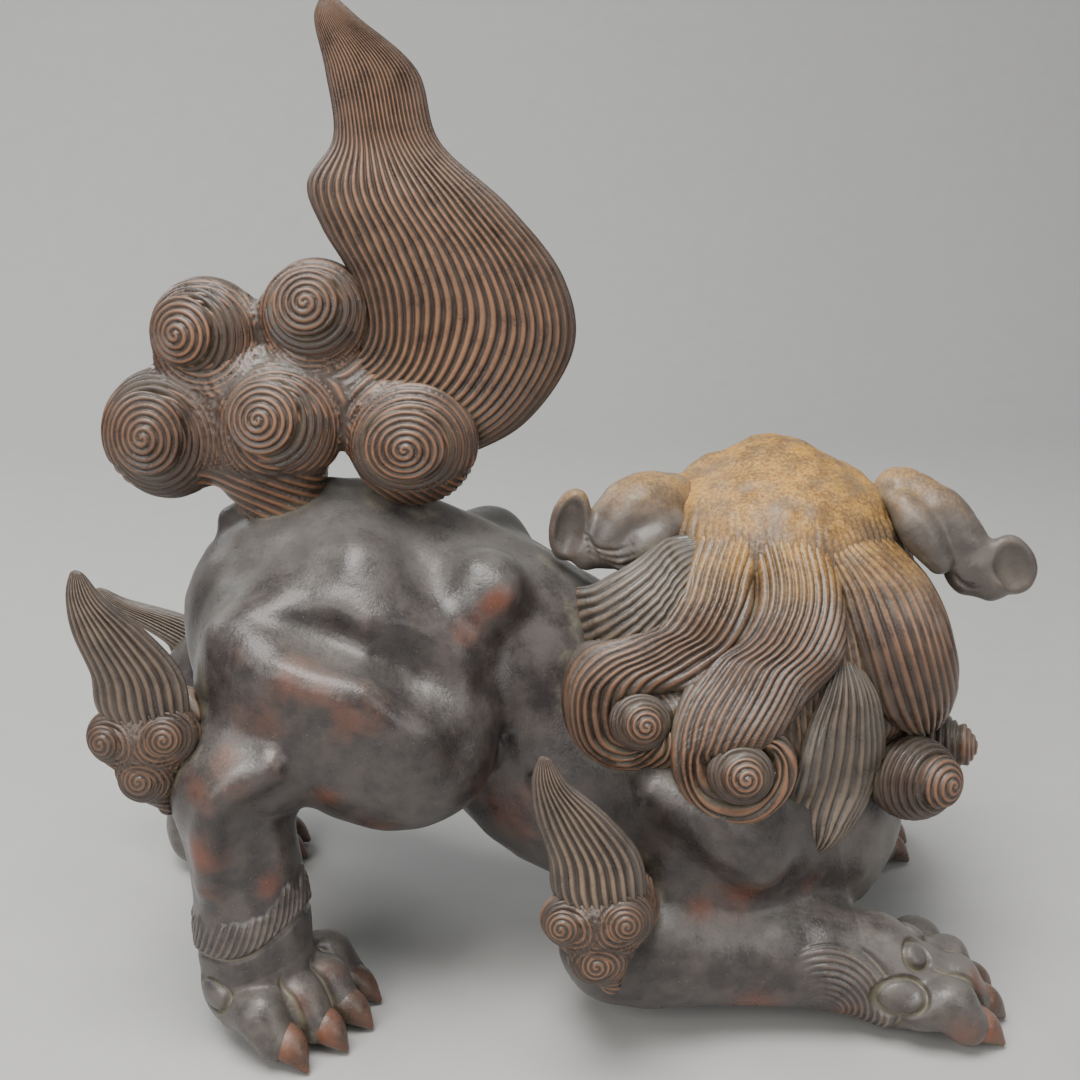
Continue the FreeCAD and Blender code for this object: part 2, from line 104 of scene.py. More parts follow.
class Clay:
    """A block of clay held as distances on a grid."""

    def __init__(self, low, high, step):
        self.low, self.step = np.array(low, float), step
        count = np.ceil((np.array(high, float) - self.low) / step).astype(int) + 1
        self.field = np.full(count, 25.0, np.float32)

    def block(self, low, high):
        """The part of the grid between two corners, and its coordinates."""
        top = np.array(self.field.shape)
        i = np.clip(np.floor((np.array(low) - self.low) / self.step).astype(int), 0, top)
        j = np.clip(np.ceil((np.array(high) - self.low) / self.step).astype(int) + 1, 0, top)
        axes = [(self.low[k] + self.step * np.arange(i[k], j[k])).astype(np.float32) for k in range(3)]
        where = tuple(slice(i[k], j[k]) for k in range(3))
        return where, (axes[0][:, None, None], axes[1][None, :, None], axes[2][None, None, :])

    def put(self, where, distance, blend, dig):
        """Add a shape, or dig it out."""
        old = self.field[where]
        if dig:
            self.field[where] = -merged(-old, distance, blend)
        else:
            self.field[where] = merged(old, distance, blend)

    def ball(self, centre, radii, blend=0.0, turn=None, dig=False):
        """An ellipsoid."""
        radii = (radii,) * 3 if np.isscalar(radii) else radii
        reach = (max(radii) if turn else np.array(radii)) + blend + 2 * self.step
        where, p = self.block(np.array(centre) - reach, np.array(centre) + reach)
        self.put(where, ellipsoid_distance(p, centre, radii, turn), blend, dig)

    def sweep(self, points, radii, blend=0.0, dig=False, count=0):
        """A rod of changing radius along a smooth path."""
        rows = np.array([(*p, r) for p, r in zip(points, np.broadcast_to(radii, len(points)))], float)
        if len(rows) > 2:
            rows = smooth_path(rows, count or 5 * len(rows))
        reach = rows[:, 3].max() + blend + 2 * self.step
        where, p = self.block(rows[:, :3].min(0) - reach, rows[:, :3].max(0) + reach)
        away = None
        for a, b in zip(rows[:-1], rows[1:]):
            one = bone_distance(p, a[:3], b[:3], a[3], b[3])
            away = one if away is None else np.minimum(away, one)
        self.put(where, away, blend, dig)

    def skin(self, x, z, side):
        """Y of the outermost surface at an X and Z, seen from -Y if side is negative and from +Y if not."""
        i, k = round((x - self.low[0]) / self.step), round((z - self.low[2]) / self.step)
        inside = np.flatnonzero(self.field[i, :, k] < 0)
        if not len(inside):
            return None
        return self.low[1] + self.step * (inside[0] if side < 0 else inside[-1])

    def stroke(self, line, side, radii):
        """A rod along a line of (x, z) points that is laid on the surface seen from one side."""
        laid = []
        for (x, z), radius in zip(line, np.broadcast_to(radii, len(line))):
            y = self.skin(x, z, side)
            if y is not None and (not laid or abs(y - laid[-1][1]) < 2.5):
                laid.append((x, y, z, radius))
        if len(laid) > 2:
            laid = np.array(laid)
            laid[1:-1, 1] = (laid[:-2, 1] + 2 * laid[1:-1, 1] + laid[2:, 1]) / 4
            return laid
        return None

    def comb(self, lines, side, radii, blend=0.6, dig=False):
        """Strokes laid on one side of the shape as it is now."""
        laid = [self.stroke(line, side, radii) for line in lines]
        for one in laid:
            if one is not None:
                self.sweep(one[:, :3], one[:, 3], blend, dig, 4 * len(one))

    def flatten(self):
        """Cut off everything below the ground."""
        where, p = self.block(self.low, self.low + self.step * np.array(self.field.shape))
        self.field[where] = np.maximum(self.field[where], 0.05 - p[2])

    def mesh(self, ease=2):
        """The surface as points and quads, with its grid steps eased."""
        self.field[[0, -1]] = self.field[:, [0, -1]] = self.field[:, :, [0, -1]] = 5.0
        grid = vdb.FloatGrid(25.0)
        grid.copyFromArray(self.field)
        points, quads = grid.convertToQuads(0.0)
        points = points.astype(float) * self.step + self.low
        quads = quads.astype(np.int64)
        return eased(points, quads, ease), quads


def edges_of(*faces):
    """Both ends of every face's edges, for arrays with a row of corners for each face."""
    return np.vstack([f[:, [k, (k + 1) % f.shape[1]]] for f in faces for k in range(f.shape[1])])


def averaged(values, edges):
    """Each point's mean over its neighbours."""
    count = len(values)
    many = np.bincount(edges[:, 0], minlength=count) + np.bincount(edges[:, 1], minlength=count)
    flat = values.reshape(count, -1)
    out = np.empty_like(flat)
    for k in range(flat.shape[1]):
        total = np.bincount(edges[:, 0], flat[edges[:, 1], k], count)
        total += np.bincount(edges[:, 1], flat[edges[:, 0], k], count)
        out[:, k] = total / np.maximum(many, 1)
    return out.reshape(values.shape)


def eased(points, quads, rounds):
    """Points smoothed without shrinking them."""
    edges = edges_of(quads)
    for _ in range(rounds):
        points = points + 0.5 * (averaged(points, edges) - points)
        points = points - 0.52 * (averaged(points, edges) - points)
    return points


def refined(points, quads, chosen):
    """Cut each chosen face into four."""
    corners = quads[chosen]
    pairs = np.stack([corners, np.roll(corners, -1, 1)], -1)
    unique, back = np.unique(np.sort(pairs, -1).reshape(-1, 2), axis=0, return_inverse=True)
    halves = back.reshape(-1, 4) + len(points)
    hearts = np.arange(len(corners)) + len(points) + len(unique)
    points = np.vstack([points, points[unique].mean(1), points[corners].mean(1)])
    fresh = [np.stack([corners[:, k], halves[:, k], hearts, halves[:, k - 1]], -1) for k in range(4)]
    return points, np.vstack([quads[~chosen], *fresh])


def normals_of(points, *faces):
    """A normal for every point."""
    out = np.zeros_like(points)
    for corners in faces:
        a, b, c, *d = (points[column] for column in corners.T)
        way = np.cross(c - a, d[0] - b) if d else np.cross(b - a, c - a)
        for column in corners.T:
            for axis in range(3):
                out[:, axis] += np.bincount(column, way[:, axis], len(points))
    return out / np.maximum(np.linalg.norm(out, axis=1, keepdims=True), 1e-9)


def outward(points, *faces):
    """The faces, turned over if they look inwards."""
    volume = 0
    for corners in faces:
        a, *rest = (points[column] for column in corners.T)
        volume += sum(np.einsum("ij,ij->", a, np.cross(b, c)) for b, c in zip(rest[:-1], rest[1:]))
    return [corners[:, ::-1] if volume < 0 else corners for corners in faces]


def waves(points, longest, shortest, count=28, seed=1):
    """Soft random unevenness between about -1 and 1."""
    rng = np.random.default_rng(seed)
    total = np.zeros(len(points))
    for _ in range(count):
        way = rng.normal(size=3)
        way *= 2 * math.pi / (np.linalg.norm(way) * rng.uniform(shortest, longest))
        total += np.sin(points @ way + rng.uniform(0, 6.3))
    return total / math.sqrt(count)


# ---------------------------------------------------------------- pieces


def piece(name, points, quads, material, nodes, slot, triangles=None, crest=None, split=None):
    """Keep a finished surface. Its mesh is made once every surface is known.

    split gives, for the points at the faces' middles, the number of the piece each face belongs to, and
    name, material, nodes and slot are then lists. slot is not used.
    """
    if triangles is None:
        triangles = np.zeros((0, 3), np.int64)
    quads, triangles = outward(points, quads, triangles)
    normals = normals_of(points, quads, triangles)
    edges = edges_of(quads, triangles)
    # How far each point stands out from the surface when that is smoothed.
    calm = points
    for _ in range(SMOOTHING_ROUNDS):
        calm = averaged(calm, edges)
    lift = np.einsum("ij,ij->i", points - calm, normals)
    item = {"points": points, "quads": quads, "triangles": triangles, "normals": normals, "split": split}
    item["look"] = (name, material, nodes, slot)
    item["values"] = {"crest": np.full(len(points), 0.5) if crest is None else crest, "lift": lift}
    PIECES.append(item)


def strip(name, mesh, material, slot, node=None):
    """Keep a lock or a curl as a piece of its own."""
    points, quads, triangles, crest = mesh
    piece(name, points, quads, material, [node or name], slot, triangles, crest)


def mirrored(points, sign, along=0, up=0):
    """Points of the left side, moved, or those of the right side if sign is negative."""
    return [(x + along, y * sign, z + up) for x, y, z in points]


def tube(rings):
    """Points, quads and triangles of a closed skin over rings, with a fan over each end."""
    rows, around, _ = rings.shape
    points = rings.reshape(-1, 3)
    i = np.arange(rows - 1)[:, None] * around
    j = np.arange(around)[None, :]
    k = (j + 1) % around
    quads = np.stack([i + j, i + k, i + around + k, i + around + j], -1).reshape(-1, 4)
    j, k = j[0], k[0]
    last = (rows - 1) * around
    first_end = np.stack([np.full(around, len(points)), k, j], -1)
    last_end = np.stack([np.full(around, len(points) + 1), last + j, last + k], -1)
    points = np.vstack([points, rings[0].mean(0), rings[-1].mean(0)])
    return points, quads, np.vstack([first_end, last_end])


def ridge(phase):
    """The height of combed ridges, from 0 in a groove to 1 on a crest."""
    return np.abs(np.cos(math.pi * phase)) ** 0.62


def front_of(field, x, z, start=-110.0, stop=40.0):
    """Y of the first surface met along +Y at each X and Z, or of the nearest miss."""
    y = np.full(x.shape, start)
    best, best_y = np.full(x.shape, 1e9), y.copy()
    for _ in range(70):
        d = field((x, y, z))
        closer = d < best
        best, best_y = np.where(closer, d, best), np.where(closer, y, best_y)
        y = np.where(d > 0.02, np.minimum(y + np.maximum(d * 0.8, 0.15), stop), y)
    return best_y


def lens_angles(ratio, shares):
    """Angles at shares of the way round a lens whose half thickness is ratio times its half width."""
    fine = np.linspace(0, 2 * math.pi, 2001)
    pace = np.hypot(np.sin(fine), ratio * np.cos(fine))
    length = np.concatenate([[0], np.cumsum((pace[1:] + pace[:-1]) / 2)])
    return np.interp(shares * length[-1], length, fine)


def lay_on(host, base, across, wide):
    """Move rows of points onto the host's surface, seen from -Y, and return each row's way out from it.

    across says where each point of a row lies, from -1 to 1, and wide is each row's width as a vector.
    """
    base[..., 1] = front_of(host, base[..., 0], base[..., 2])
    order = np.argsort(across)
    level = base[:, order, 1]
    for _ in range(6):
        level[:, 1:-1] = (level[:, :-2] + 2 * level[:, 1:-1] + level[:, 2:]) / 4
        level[1:-1] = (level[:-2] + 2 * level[1:-1] + level[2:]) / 4
    base[:, order, 1] = level
    middle = np.argmin(np.abs(across[: len(across) // 2]))
    wide[:, 1] = base[:, order[-1], 1] - base[:, order[0], 1]
    out = np.cross(np.gradient(base[:, middle], axis=0), wide)
    return out * np.sign(-out[:, 1:2])


def strand_drift(along, around, seed):
    """How far strands wander from an even spacing, as a sum of a few random waves."""
    rng = np.random.default_rng(seed)
    drift = 0
    for turns in range(1, 5):
        size, rate, shift = rng.uniform(0.3, 1), rng.uniform(0.5, 2.5), rng.uniform(0, 6)
        drift = drift + size * np.sin(2 * math.pi * (along * rate + around * turns) + shift)
    return drift


def combed(stations, ridges, deep=0.75, face=(0, -1, 0), host=None, rows=150, per_ridge=8, sway=0.25,
           swell=None, seed=1, ends=(0.25, 0.0), sunk=0.0, strand=None):
    """A lens-shaped lock with combed ridges along it.

    Each station is (one edge, other edge, half thickness). With a host, edges are (x, z) and the lock
    lies on the host's surface, its start sunk that far into it. ridges counts those on both faces, and
    strand keeps them that wide instead, counted from the first edge. swell is (where across, width, height)
    of a thicker part. ends are the shares of the thickness left at the start and at the end.
    """
    flat = host is not None
    table = np.array([(*a, *b, t) for a, b, t in stations], float)
    path = smooth_path(table, rows)
    if flat:
        left = np.stack([path[:, 0], np.zeros(rows), path[:, 1]], -1)
        right = np.stack([path[:, 2], np.zeros(rows), path[:, 3]], -1)
    else:
        left, right = path[:, 0:3], path[:, 3:6]
    thick = np.maximum(path[:, -1], 0.05)
    half = np.linalg.norm(right - left, axis=1) / 2
    ratio = float(np.median(thick / np.maximum(half, 0.5)))
    around = int(ridges * per_ridge)
    u = np.arange(around) / around
    theta = lens_angles(ratio, u)
    s = -np.cos(theta)
    base = (left[:, None] + right[:, None]) / 2 + (right - left)[:, None] / 2 * s[None, :, None]
    if flat:
        out = lay_on(host, base, s, right - left)
    else:
        across = (right - left) / np.maximum(2 * half[:, None], 1e-6)
        out = np.array(face, float) - across * (across @ np.array(face, float))[:, None]
    out /= np.maximum(np.linalg.norm(out, axis=1, keepdims=True), 1e-9)
    along = np.linspace(0, 1, rows)
    for end, share in ((0, ends[0]), (1, ends[1])):
        if share:
            t = np.clip((along if end == 0 else 1 - along) / 0.12, 0, 1)
            thick = thick * (share + (1 - share) * np.sqrt(np.clip(1 - (1 - t) ** 2, 0, 1)))
    lens = np.sin(theta)
    height = thick[:, None] * lens[None, :]
    if swell:
        where, width, amount = swell
        height = height + amount * np.exp(-(((s - where) / width) ** 2))[None] * (lens > 0) * np.minimum(
            half / max(half.max(), 1e-6), 1
        )[:, None]
    if sunk:
        height = height - (sunk * np.clip(1 - along / 0.2, 0, 1))[:, None]
    rings = base + out[:, None] * height[..., None]
    points, quads, triangles = tube(rings)
    quads, triangles = outward(points, quads, triangles)
    normals = normals_of(points, quads, triangles)
    girth = np.linalg.norm(np.diff(rings, axis=1, append=rings[:, :1]), axis=2).sum(1)
    pitch = girth / ridges
    drift = strand_drift(along[:, None], u[None], seed)
    phase = u[None] * ridges
    if strand:
        phase = (s + 1)[None] * half[:, None] / strand
        pitch = np.full(rows, strand)
    crest = ridge(phase + sway * drift * 0.5)
    amount = np.minimum(deep, 0.4 * pitch)[:, None] * (1 + 0.18 * drift / 2)
    bulge = np.sqrt(np.abs(lens))[None]
    rise = np.ones((rows, 1))
    if flat:
        amount = amount * (0.12 + 0.88 * bulge)
        rise = np.clip(along / 0.16, 0, 1)[:, None]
        amount = amount * (0.25 + 0.75 * rise)
    tone = 0.45 + (crest - 0.45) * (0.45 + 0.55 * bulge) * (0.4 + 0.6 * rise)
    # The last two points are the middles of the ends.
    push = np.append(((crest - 0.55) * 2 * amount).ravel(), [0, 0])
    return points + normals * push[:, None], quads, triangles, np.append(tone.ravel(), [0.6, 0.9])


def curl(centre, radius, pole, squash, pitch, deep=0.8, hand=1, start=0.0, bud=1.6):
    """A ball rolled from a strip of clay: spiral ridges round a raised bud, on both of its faces."""
    pole = np.array(pole, float) / np.linalg.norm(pole)
    side = np.cross(pole, (0.0, 0.0, 1.0))
    side /= np.linalg.norm(side)
    top = np.cross(side, pole)
    rows = int(math.pi * radius / pitch * 9)
    around = 132
    angle = np.linspace(0.012, math.pi - 0.012, rows)[:, None]
    phi = (np.arange(around) / around * 2 * math.pi)[None]
    way = (
        pole * np.cos(angle)[..., None]
        + (side * np.cos(phi)[..., None] + top * np.sin(phi)[..., None]) * np.sin(angle)[..., None]
    )
    reach = np.minimum(angle, math.pi - angle) * radius
    # Inside this reach the roll is raised and its ridges are finer.
    rim = 0.62 * radius
    edge = reach - rim - 0.08 * radius * np.cos(phi - 1)
    inner = 1 / (1 + np.exp(edge / 0.4))
    phase = np.minimum(reach, rim) / (0.74 * pitch) + np.maximum(reach - rim, 0) / pitch
    phase = phase - hand * phi / (2 * math.pi) + start
    crest = ridge(phase)
    hush = np.clip(reach / (0.9 * pitch), 0, 1)
    size = radius * 0.92 + bud * np.exp(-((reach / (1.4 * pitch)) ** 2))
    size = size + 0.13 * radius * inner - 0.05 * radius * np.exp(-(((edge - 1.0) / 1.0) ** 2))
    uneven = 0.35 * np.sin(2 * phi + start * 5) * np.sin(angle) ** 2
    amount = min(deep, 0.36 * pitch)
    size = size + uneven + (crest - 0.6) * 2 * amount * (0.35 + 0.65 * hush) * (1 - 0.25 * inner)
    rings = np.array(centre, float) + way * size[..., None] * np.array(squash, float)
    points, quads, triangles = tube(rings)
    tone = 0.45 + (crest - 0.45) * (0.6 + 0.4 * inner)
    return points, quads, triangles, np.append(tone.ravel(), [1.0, 1.0])


def rings_round(points, curls, pitch, far=1.5):
    """Crest height of rings that spread from the nearest curl, and how strongly they show.

    Each curl is (centre, radius). Rings fade out at far radii and where two curls' rings meet.
    """
    gaps, reaches = [], []
    for centre, radius in curls:
        away = np.hypot(points[:, 0] - centre[0], points[:, 2] - centre[2])
        gaps.append(away / radius)
        arc = radius * np.arcsin(np.clip(away / radius, 0, 1))
        reaches.append(arc + np.maximum(away - radius, 0))
    gaps, reaches = np.array(gaps), np.array(reaches)
    order = np.argsort(gaps, axis=0)
    pick = np.arange(len(points))
    first = gaps[order[0], pick]
    second = gaps[order[1], pick] if len(curls) > 1 else first + 1
    share = np.clip((second - first) / 0.12, 0, 1) * np.clip((far - first) / 0.25, 0, 1)
    return ridge(reaches[order[0], pick] / pitch), share


def cluster(name, curls, stem, blend, flat, nodes, slot, material, pitch, grain=0.8):
    """The clay that a group of curls is rolled on, with their outer rings running over it."""
    centres = np.array([centre for centre, _ in curls], float)
    reach = max(radius for _, radius in curls) + 8
    low, high = centres.min(0) - reach, centres.max(0) + reach
    for path, radii in stem:
        low = np.minimum(low, np.array(path).min(0) - max(radii) - 4)
        high = np.maximum(high, np.array(path).max(0) + max(radii) + 4)
    clay = Clay(low, high, grain)
    for centre, radius in curls:
        clay.ball(centre, (0.96 * radius, flat * radius, 0.96 * radius), blend)
    for path, radii in stem:
        clay.sweep(path, radii, blend)
    if low[2] < 2:
        clay.flatten()
    points, quads = clay.mesh(2)
    normals = normals_of(points, quads)
    crest, share = rings_round(points, curls, pitch)
    bottom = centres[:, 2].min()
    x, _, z = points.T
    lines = ridge((0.9 * z + 0.42 * x + 0.004 * (x - centres[:, 0].mean()) ** 2) / pitch)
    under = np.clip((bottom - 6 - z) / 4, 0, 1)
    crest = crest * (1 - under) + lines * under
    share = np.maximum(share * (1 - under), 0.9 * under)
    points = points + normals * ((crest - 0.6) * share * 0.5 * pitch)[:, None]
    piece(name, points, quads, material, nodes, slot, crest=0.6 + share * (crest - 0.6))


# ---------------------------------------------------------------- body and legs

# The middles of the haunches and of the knees.
HIPS = {"right": (-63, -40, 112), "left": (-84, 40, 107)}
KNEES = {"right": (-42, -49, 91), "left": (-64, 48, 86)}
# The middles of each leg's joints and of its paw, and how many degrees the paw is turned from +X.
HIND = {
    "right": {"hock": (-98, -53, 84), "ankle": (-93, -54, 38), "paw": (-89, -53, 15), "heading": -24},
    "left": {"hock": (-126, 53, 76), "ankle": (-129, 54, 38), "paw": (-127, 54, 15), "heading": 8},
}
FORE = {
    "right": {"elbow": (28, -54, 30), "wrist": (103, -52, 22), "paw": (120, -51, 15), "heading": 6},
    "left": {"elbow": (28, 54, 30), "wrist": (98, 60, 22), "paw": (115, 63, 15), "heading": 14},
}
LEGS = {"hind": HIND, "fore": FORE}
# Where the tufts at the hocks start, how far they lean along X, and their length as a share of the others'.
HOCK_TUFTS = {"right": ((-123, -60, 113), -12, 1.0), "left": ((-132, 60, 84), -30, 0.62)}
PAWS = [(pair, side) for pair in ("hind", "fore") for side in SIDES]
# The distance between toes, and how far each one's way leans aside for one ahead.
TOE_WIDTH, TOE_FAN = 10.6, 0.158
# How far to the side each toe is, in toe widths, and how far it reaches.
TOES = ((-1.5, 7), (-0.5, 13), (0.5, 14), (1.5, 9))
# The beads on a paw: how far ahead, how far out, how high, and their half sizes.
BEADS = (
    (-7, 17, 19, 7.4, 7, 5.0),
    (-1, 8, 27, 5.2, 4.6, 5),
    (3, -5, 27, 4.8, 4.6, 5),
    (-6, -16, 19, 6, 6, 4.6),
)
# Where handling has worn the skin to rust, on both sides: the middle of each patch and its radius.
RUST = (
    ((-55, 44, 141), 9), ((-24, 42, 132), 9), ((-14, 40, 142), 6), ((-90, 54, 131), 11), ((-70, 63, 124), 14),
    ((-56, 67, 117), 12), ((-84, 62, 112), 13), ((-65, 64, 88), 7), ((-50, 58, 79), 8), ((-41, 56, 80), 6),
    ((-22, 45, 80), 13), ((-13, 40, 64), 16), ((-103, 68, 91), 8), ((-103, 70, 72), 9), ((-102, 68, 58), 7),
    ((-85, 67, 58), 7), ((62, 60, 52), 12), ((50, 62, 47), 8), ((30, 52, 55), 12), ((69, 66, 16), 10),
    ((97, 62, 14), 9), ((85, 46, 48), 8), ((-87, 74, 9), 10), ((-76, 68, 17), 8), ((-70, 58, 20), 6),
    ((134, 70, 10), 10), ((142, 58, 17), 7), ((-94, 66, 100), 9),
)


def shank(clay, side, grow=0.0):
    """The lower hind leg."""
    here = HIND[side]
    hock, ankle = np.array(here["hock"], float), np.array(here["ankle"], float)
    top = hock + (4, 0, 6)
    middle = (hock + ankle) / 2 + (1, 0, 0)
    foot = ankle - (-1, 0, 16)
    clay.sweep([top, hock, middle, ankle, foot], np.array([19, 19, 17.5, 18.6, 18.5]) + grow, 9)


def forearm(clay, side, grow=0.0):
    """The forearm along the ground."""
    here = FORE[side]
    elbow, wrist = np.array(here["elbow"], float), np.array(here["wrist"], float)
    along = wrist - elbow
    rows = [elbow + share * along for share in (-0.02, 0.15, 0.5, 0.85)] + [wrist + 0.08 * along]
    clay.sweep(rows, np.array([20.5, 20.5, 17.3, 16.8, 16.0]) + grow, 10)


def shape_side(clay, side):
    """The haunch, the shoulder and the leg of one side, with their folds and knobs."""
    sign = SIDES[side]
    hip, knee = HIPS[side], KNEES[side]
    shift = hip[0] - HIPS["right"][0]
    clay.ball(hip, (47, 30, 38), 12, (0, 12, 0))
    clay.ball(knee, (27, 19, 21), 12, (0, -12, 0))
    clay.ball((52, 38 * sign, 70), (38, 27, 38), 16)
    shank(clay, side)
    forearm(clay, side)
    # The ridge of the thigh, the fold under it and the hollow above it.
    drop = 0 if side == "right" else -5
    thigh = [(-95, 52, 133), (-76, 61, 129), (-56, 65, 121), (-40, 64, 109)]
    clay.sweep(mirrored(thigh, sign, shift, drop), (5, 7, 8, 6), 15)
    fold = [(-82, 76, 117), (-66, 79, 112), (-54, 79, 103)]
    clay.sweep(mirrored(fold, sign, shift, drop), (1, 4, 2), 10, dig=True)
    clay.ball((-66 + shift, 62 * sign, 138 + drop), (17, 9, 5), 12, (0, 20, 0), dig=True)
    clay.ball((-36 + shift, 60 * sign, 126 + drop), (12, 9, 8), 12, (0, 30, 0), dig=True)
    crease = [(-36, 63, 112), (-28, 60, 103), (-24, 56, 90)]
    clay.sweep(mirrored(crease, sign, shift, drop), (0.3, 1.4, 0.6), 4, dig=True)
    # The knobs of the hip and the loin.
    clay.sweep(mirrored([(-62, 31, 152), (-56, 35, 150), (-54, 42, 141)], sign), (8, 9.5, 5), 12)
    clay.ball((-17, 27 * sign, 142), (10.5, 11, 10.5), 9)
    clay.sweep(mirrored([(-18, 28, 140), (-29, 38, 129)], sign), (8, 5), 14)
    # The bony front of the shank, its arch and the hollow beside them.
    hock = np.array(HIND[side]["hock"], float)
    out = np.array((0, sign, 0))
    bone = mirrored([(-4, 17, -26), (-3, 19, -8), (2, 19, 8), (16, 17, 15)], sign)
    clay.sweep([hock + step for step in bone], (3, 4.2, 4.2, 3), 9)
    clay.ball(hock + (11, 0, -10) + 27 * out, (9, 11, 14), 8, dig=True)
    clay.ball(hock + (1, 0, -32) + 24 * out, (12, 4, 8), 8, dig=True)
    # The fold of the armpit, the shoulder blade and the ribs.
    armpit = [(44, 72, 53), (66, 71, 49), (88, 66, 46), (104, 58, 44)]
    clay.sweep(mirrored(armpit, sign), 1.5, 7, dig=True)
    clay.ball((14, 56 * sign, 56), (9, 14, 20), 12, (0, 15, 0), dig=True)
    clay.sweep(mirrored([(36, 62, 88), (56, 66, 78), (70, 62, 62)], sign), (4, 7, 5), 14)
    for number, x in enumerate((-18, -6, 5)):
        rib = [(-6, 41, 108 - 13 * number), (-3, 48, 92 - 13 * number), (-2, 44, 76 - 12 * number)]
        clay.sweep(mirrored(rib, sign, x), 1.2, 6, dig=True)


def make_body():
    """The torso with its muscles, the haunches, the shoulders and the legs down to the paws."""
    clay = Clay((-154, -90, -3), (152, 92, 176), 0.85)
    clay.ball((-69, 0, 121), (52, 46, 47))
    clay.ball((-22, 0, 118), (50, 38, 36), 16, (0, 28, 0))
    clay.ball((16, 0, 79), (60, 45, 49), 16, (0, 40, 0))
    clay.ball((72, 0, 55), (56, 50, 50), 16)
    for side in SIDES:
        shape_side(clay, side)
    # The spine.
    clay.sweep([(-104, 0, 158), (-70, 0, 169), (-30, 0, 154), (0, 0, 134), (20, 0, 126)], (3, 3, 4, 4, 3), 9)
    # The kiln vent under the chest.
    clay.sweep([(60, 0, -8), (60, 0, 14)], 9, 1, dig=True)
    for pair, side in PAWS:
        shape_paw(clay, pair, side)
    clay.flatten()
    points, quads = clay.mesh(2)
    near = points[quads].mean(1)
    low = (near[:, 2] < 66) & (np.abs(near[:, 1]) > 22)
    low &= (near[:, 0] < -66) | (near[:, 0] > 80)
    points, quads = refined(points, quads, low)
    normals = normals_of(points, quads)
    high = np.clip(points[:, 2] / 6, 0, 1)
    marks, crest = paw_marks(points)
    points += normals * ((0.3 * waves(points, 26, 9) + marks) * high)[:, None]
    parts = ("torso", "haunch", "shoulder", "hind_leg", "fore_leg")
    rest = [f"{part}_{side}" for part in parts for side in SIDES]
    paws = [f"{pair}_paw_{side}" for pair, side in PAWS]
    piece(
        ["body", *paws],
        points,
        quads,
        ["body"] + ["paw"] * 4,
        [rest] + [[paw] for paw in paws],
        ["body_clay"] + ["paw_clay"] * 4,
        crest=crest,
        split=paw_faces,
    )


def paw_faces(middles):
    """0 for faces of the body, and 1 to 4 for those of the paws."""
    which = np.zeros(len(middles), int)
    x, y, z = middles.T
    for number, (pair, side) in enumerate(PAWS, start=1):
        near = y * SIDES[side] > 24
        if pair == "hind":
            foot = HIND[side]["paw"]
            within = (np.abs(x - foot[0]) < 44) & (z < 27 + 0.35 * (x - foot[0]))
        else:
            wrist = FORE[side]["wrist"]
            within = x > wrist[0] + 4 - 0.25 * (z - 20)
        which[near & within] = number
    return which


def hind_fringe(points, side):
    """The hair combed up round an ankle: its ridges, how strongly they show and the groove below them."""
    x, y, z = points.T
    mid_x, mid_y, _ = HIND[side]["ankle"]
    around = np.arctan2((y - mid_y) * SIDES[side], x - mid_x)
    height = z - (38 + 7 * np.cos(around) + 1.5 * np.sin(3 * around))
    lean = 6.5 * (np.clip(height, 0, 15) / 15) ** 0.6
    lines = ridge((np.abs(around) * 18.4 + lean) / 2.7)
    tips = 12 + 2.5 * waves(points, 9, 5, seed=7)
    share = np.clip((height + 1) / 0.9, 0, 1) * np.clip((tips - height) / 4, 0, 1)
    return lines, share, np.exp(-(((height + 1.8) / 1.1) ** 2))


def fore_fringe(points, side):
    """The hair combed in rings on the side of a wrist: its ridges, how strongly they show and their edge."""
    x, _, z = points.T
    wrist = FORE[side]["wrist"][0]
    away = np.hypot(x - wrist + 13, (z - 11) / 1.05)
    share = np.clip((away - 5) / 2, 0, 1) * np.clip((23.4 - away) / 0.8, 0, 1)
    share *= np.clip((x - wrist + 14 + 0.35 * (z - 11)) / 8, 0, 1) * (z < 46)
    within = np.clip((x - wrist + 6) / 8, 0, 1) * np.clip((38 - z) / 6, 0, 1)
    return ridge(away / 1.95), share, np.exp(-(((away - 24.4) / 0.9) ** 2)) * within


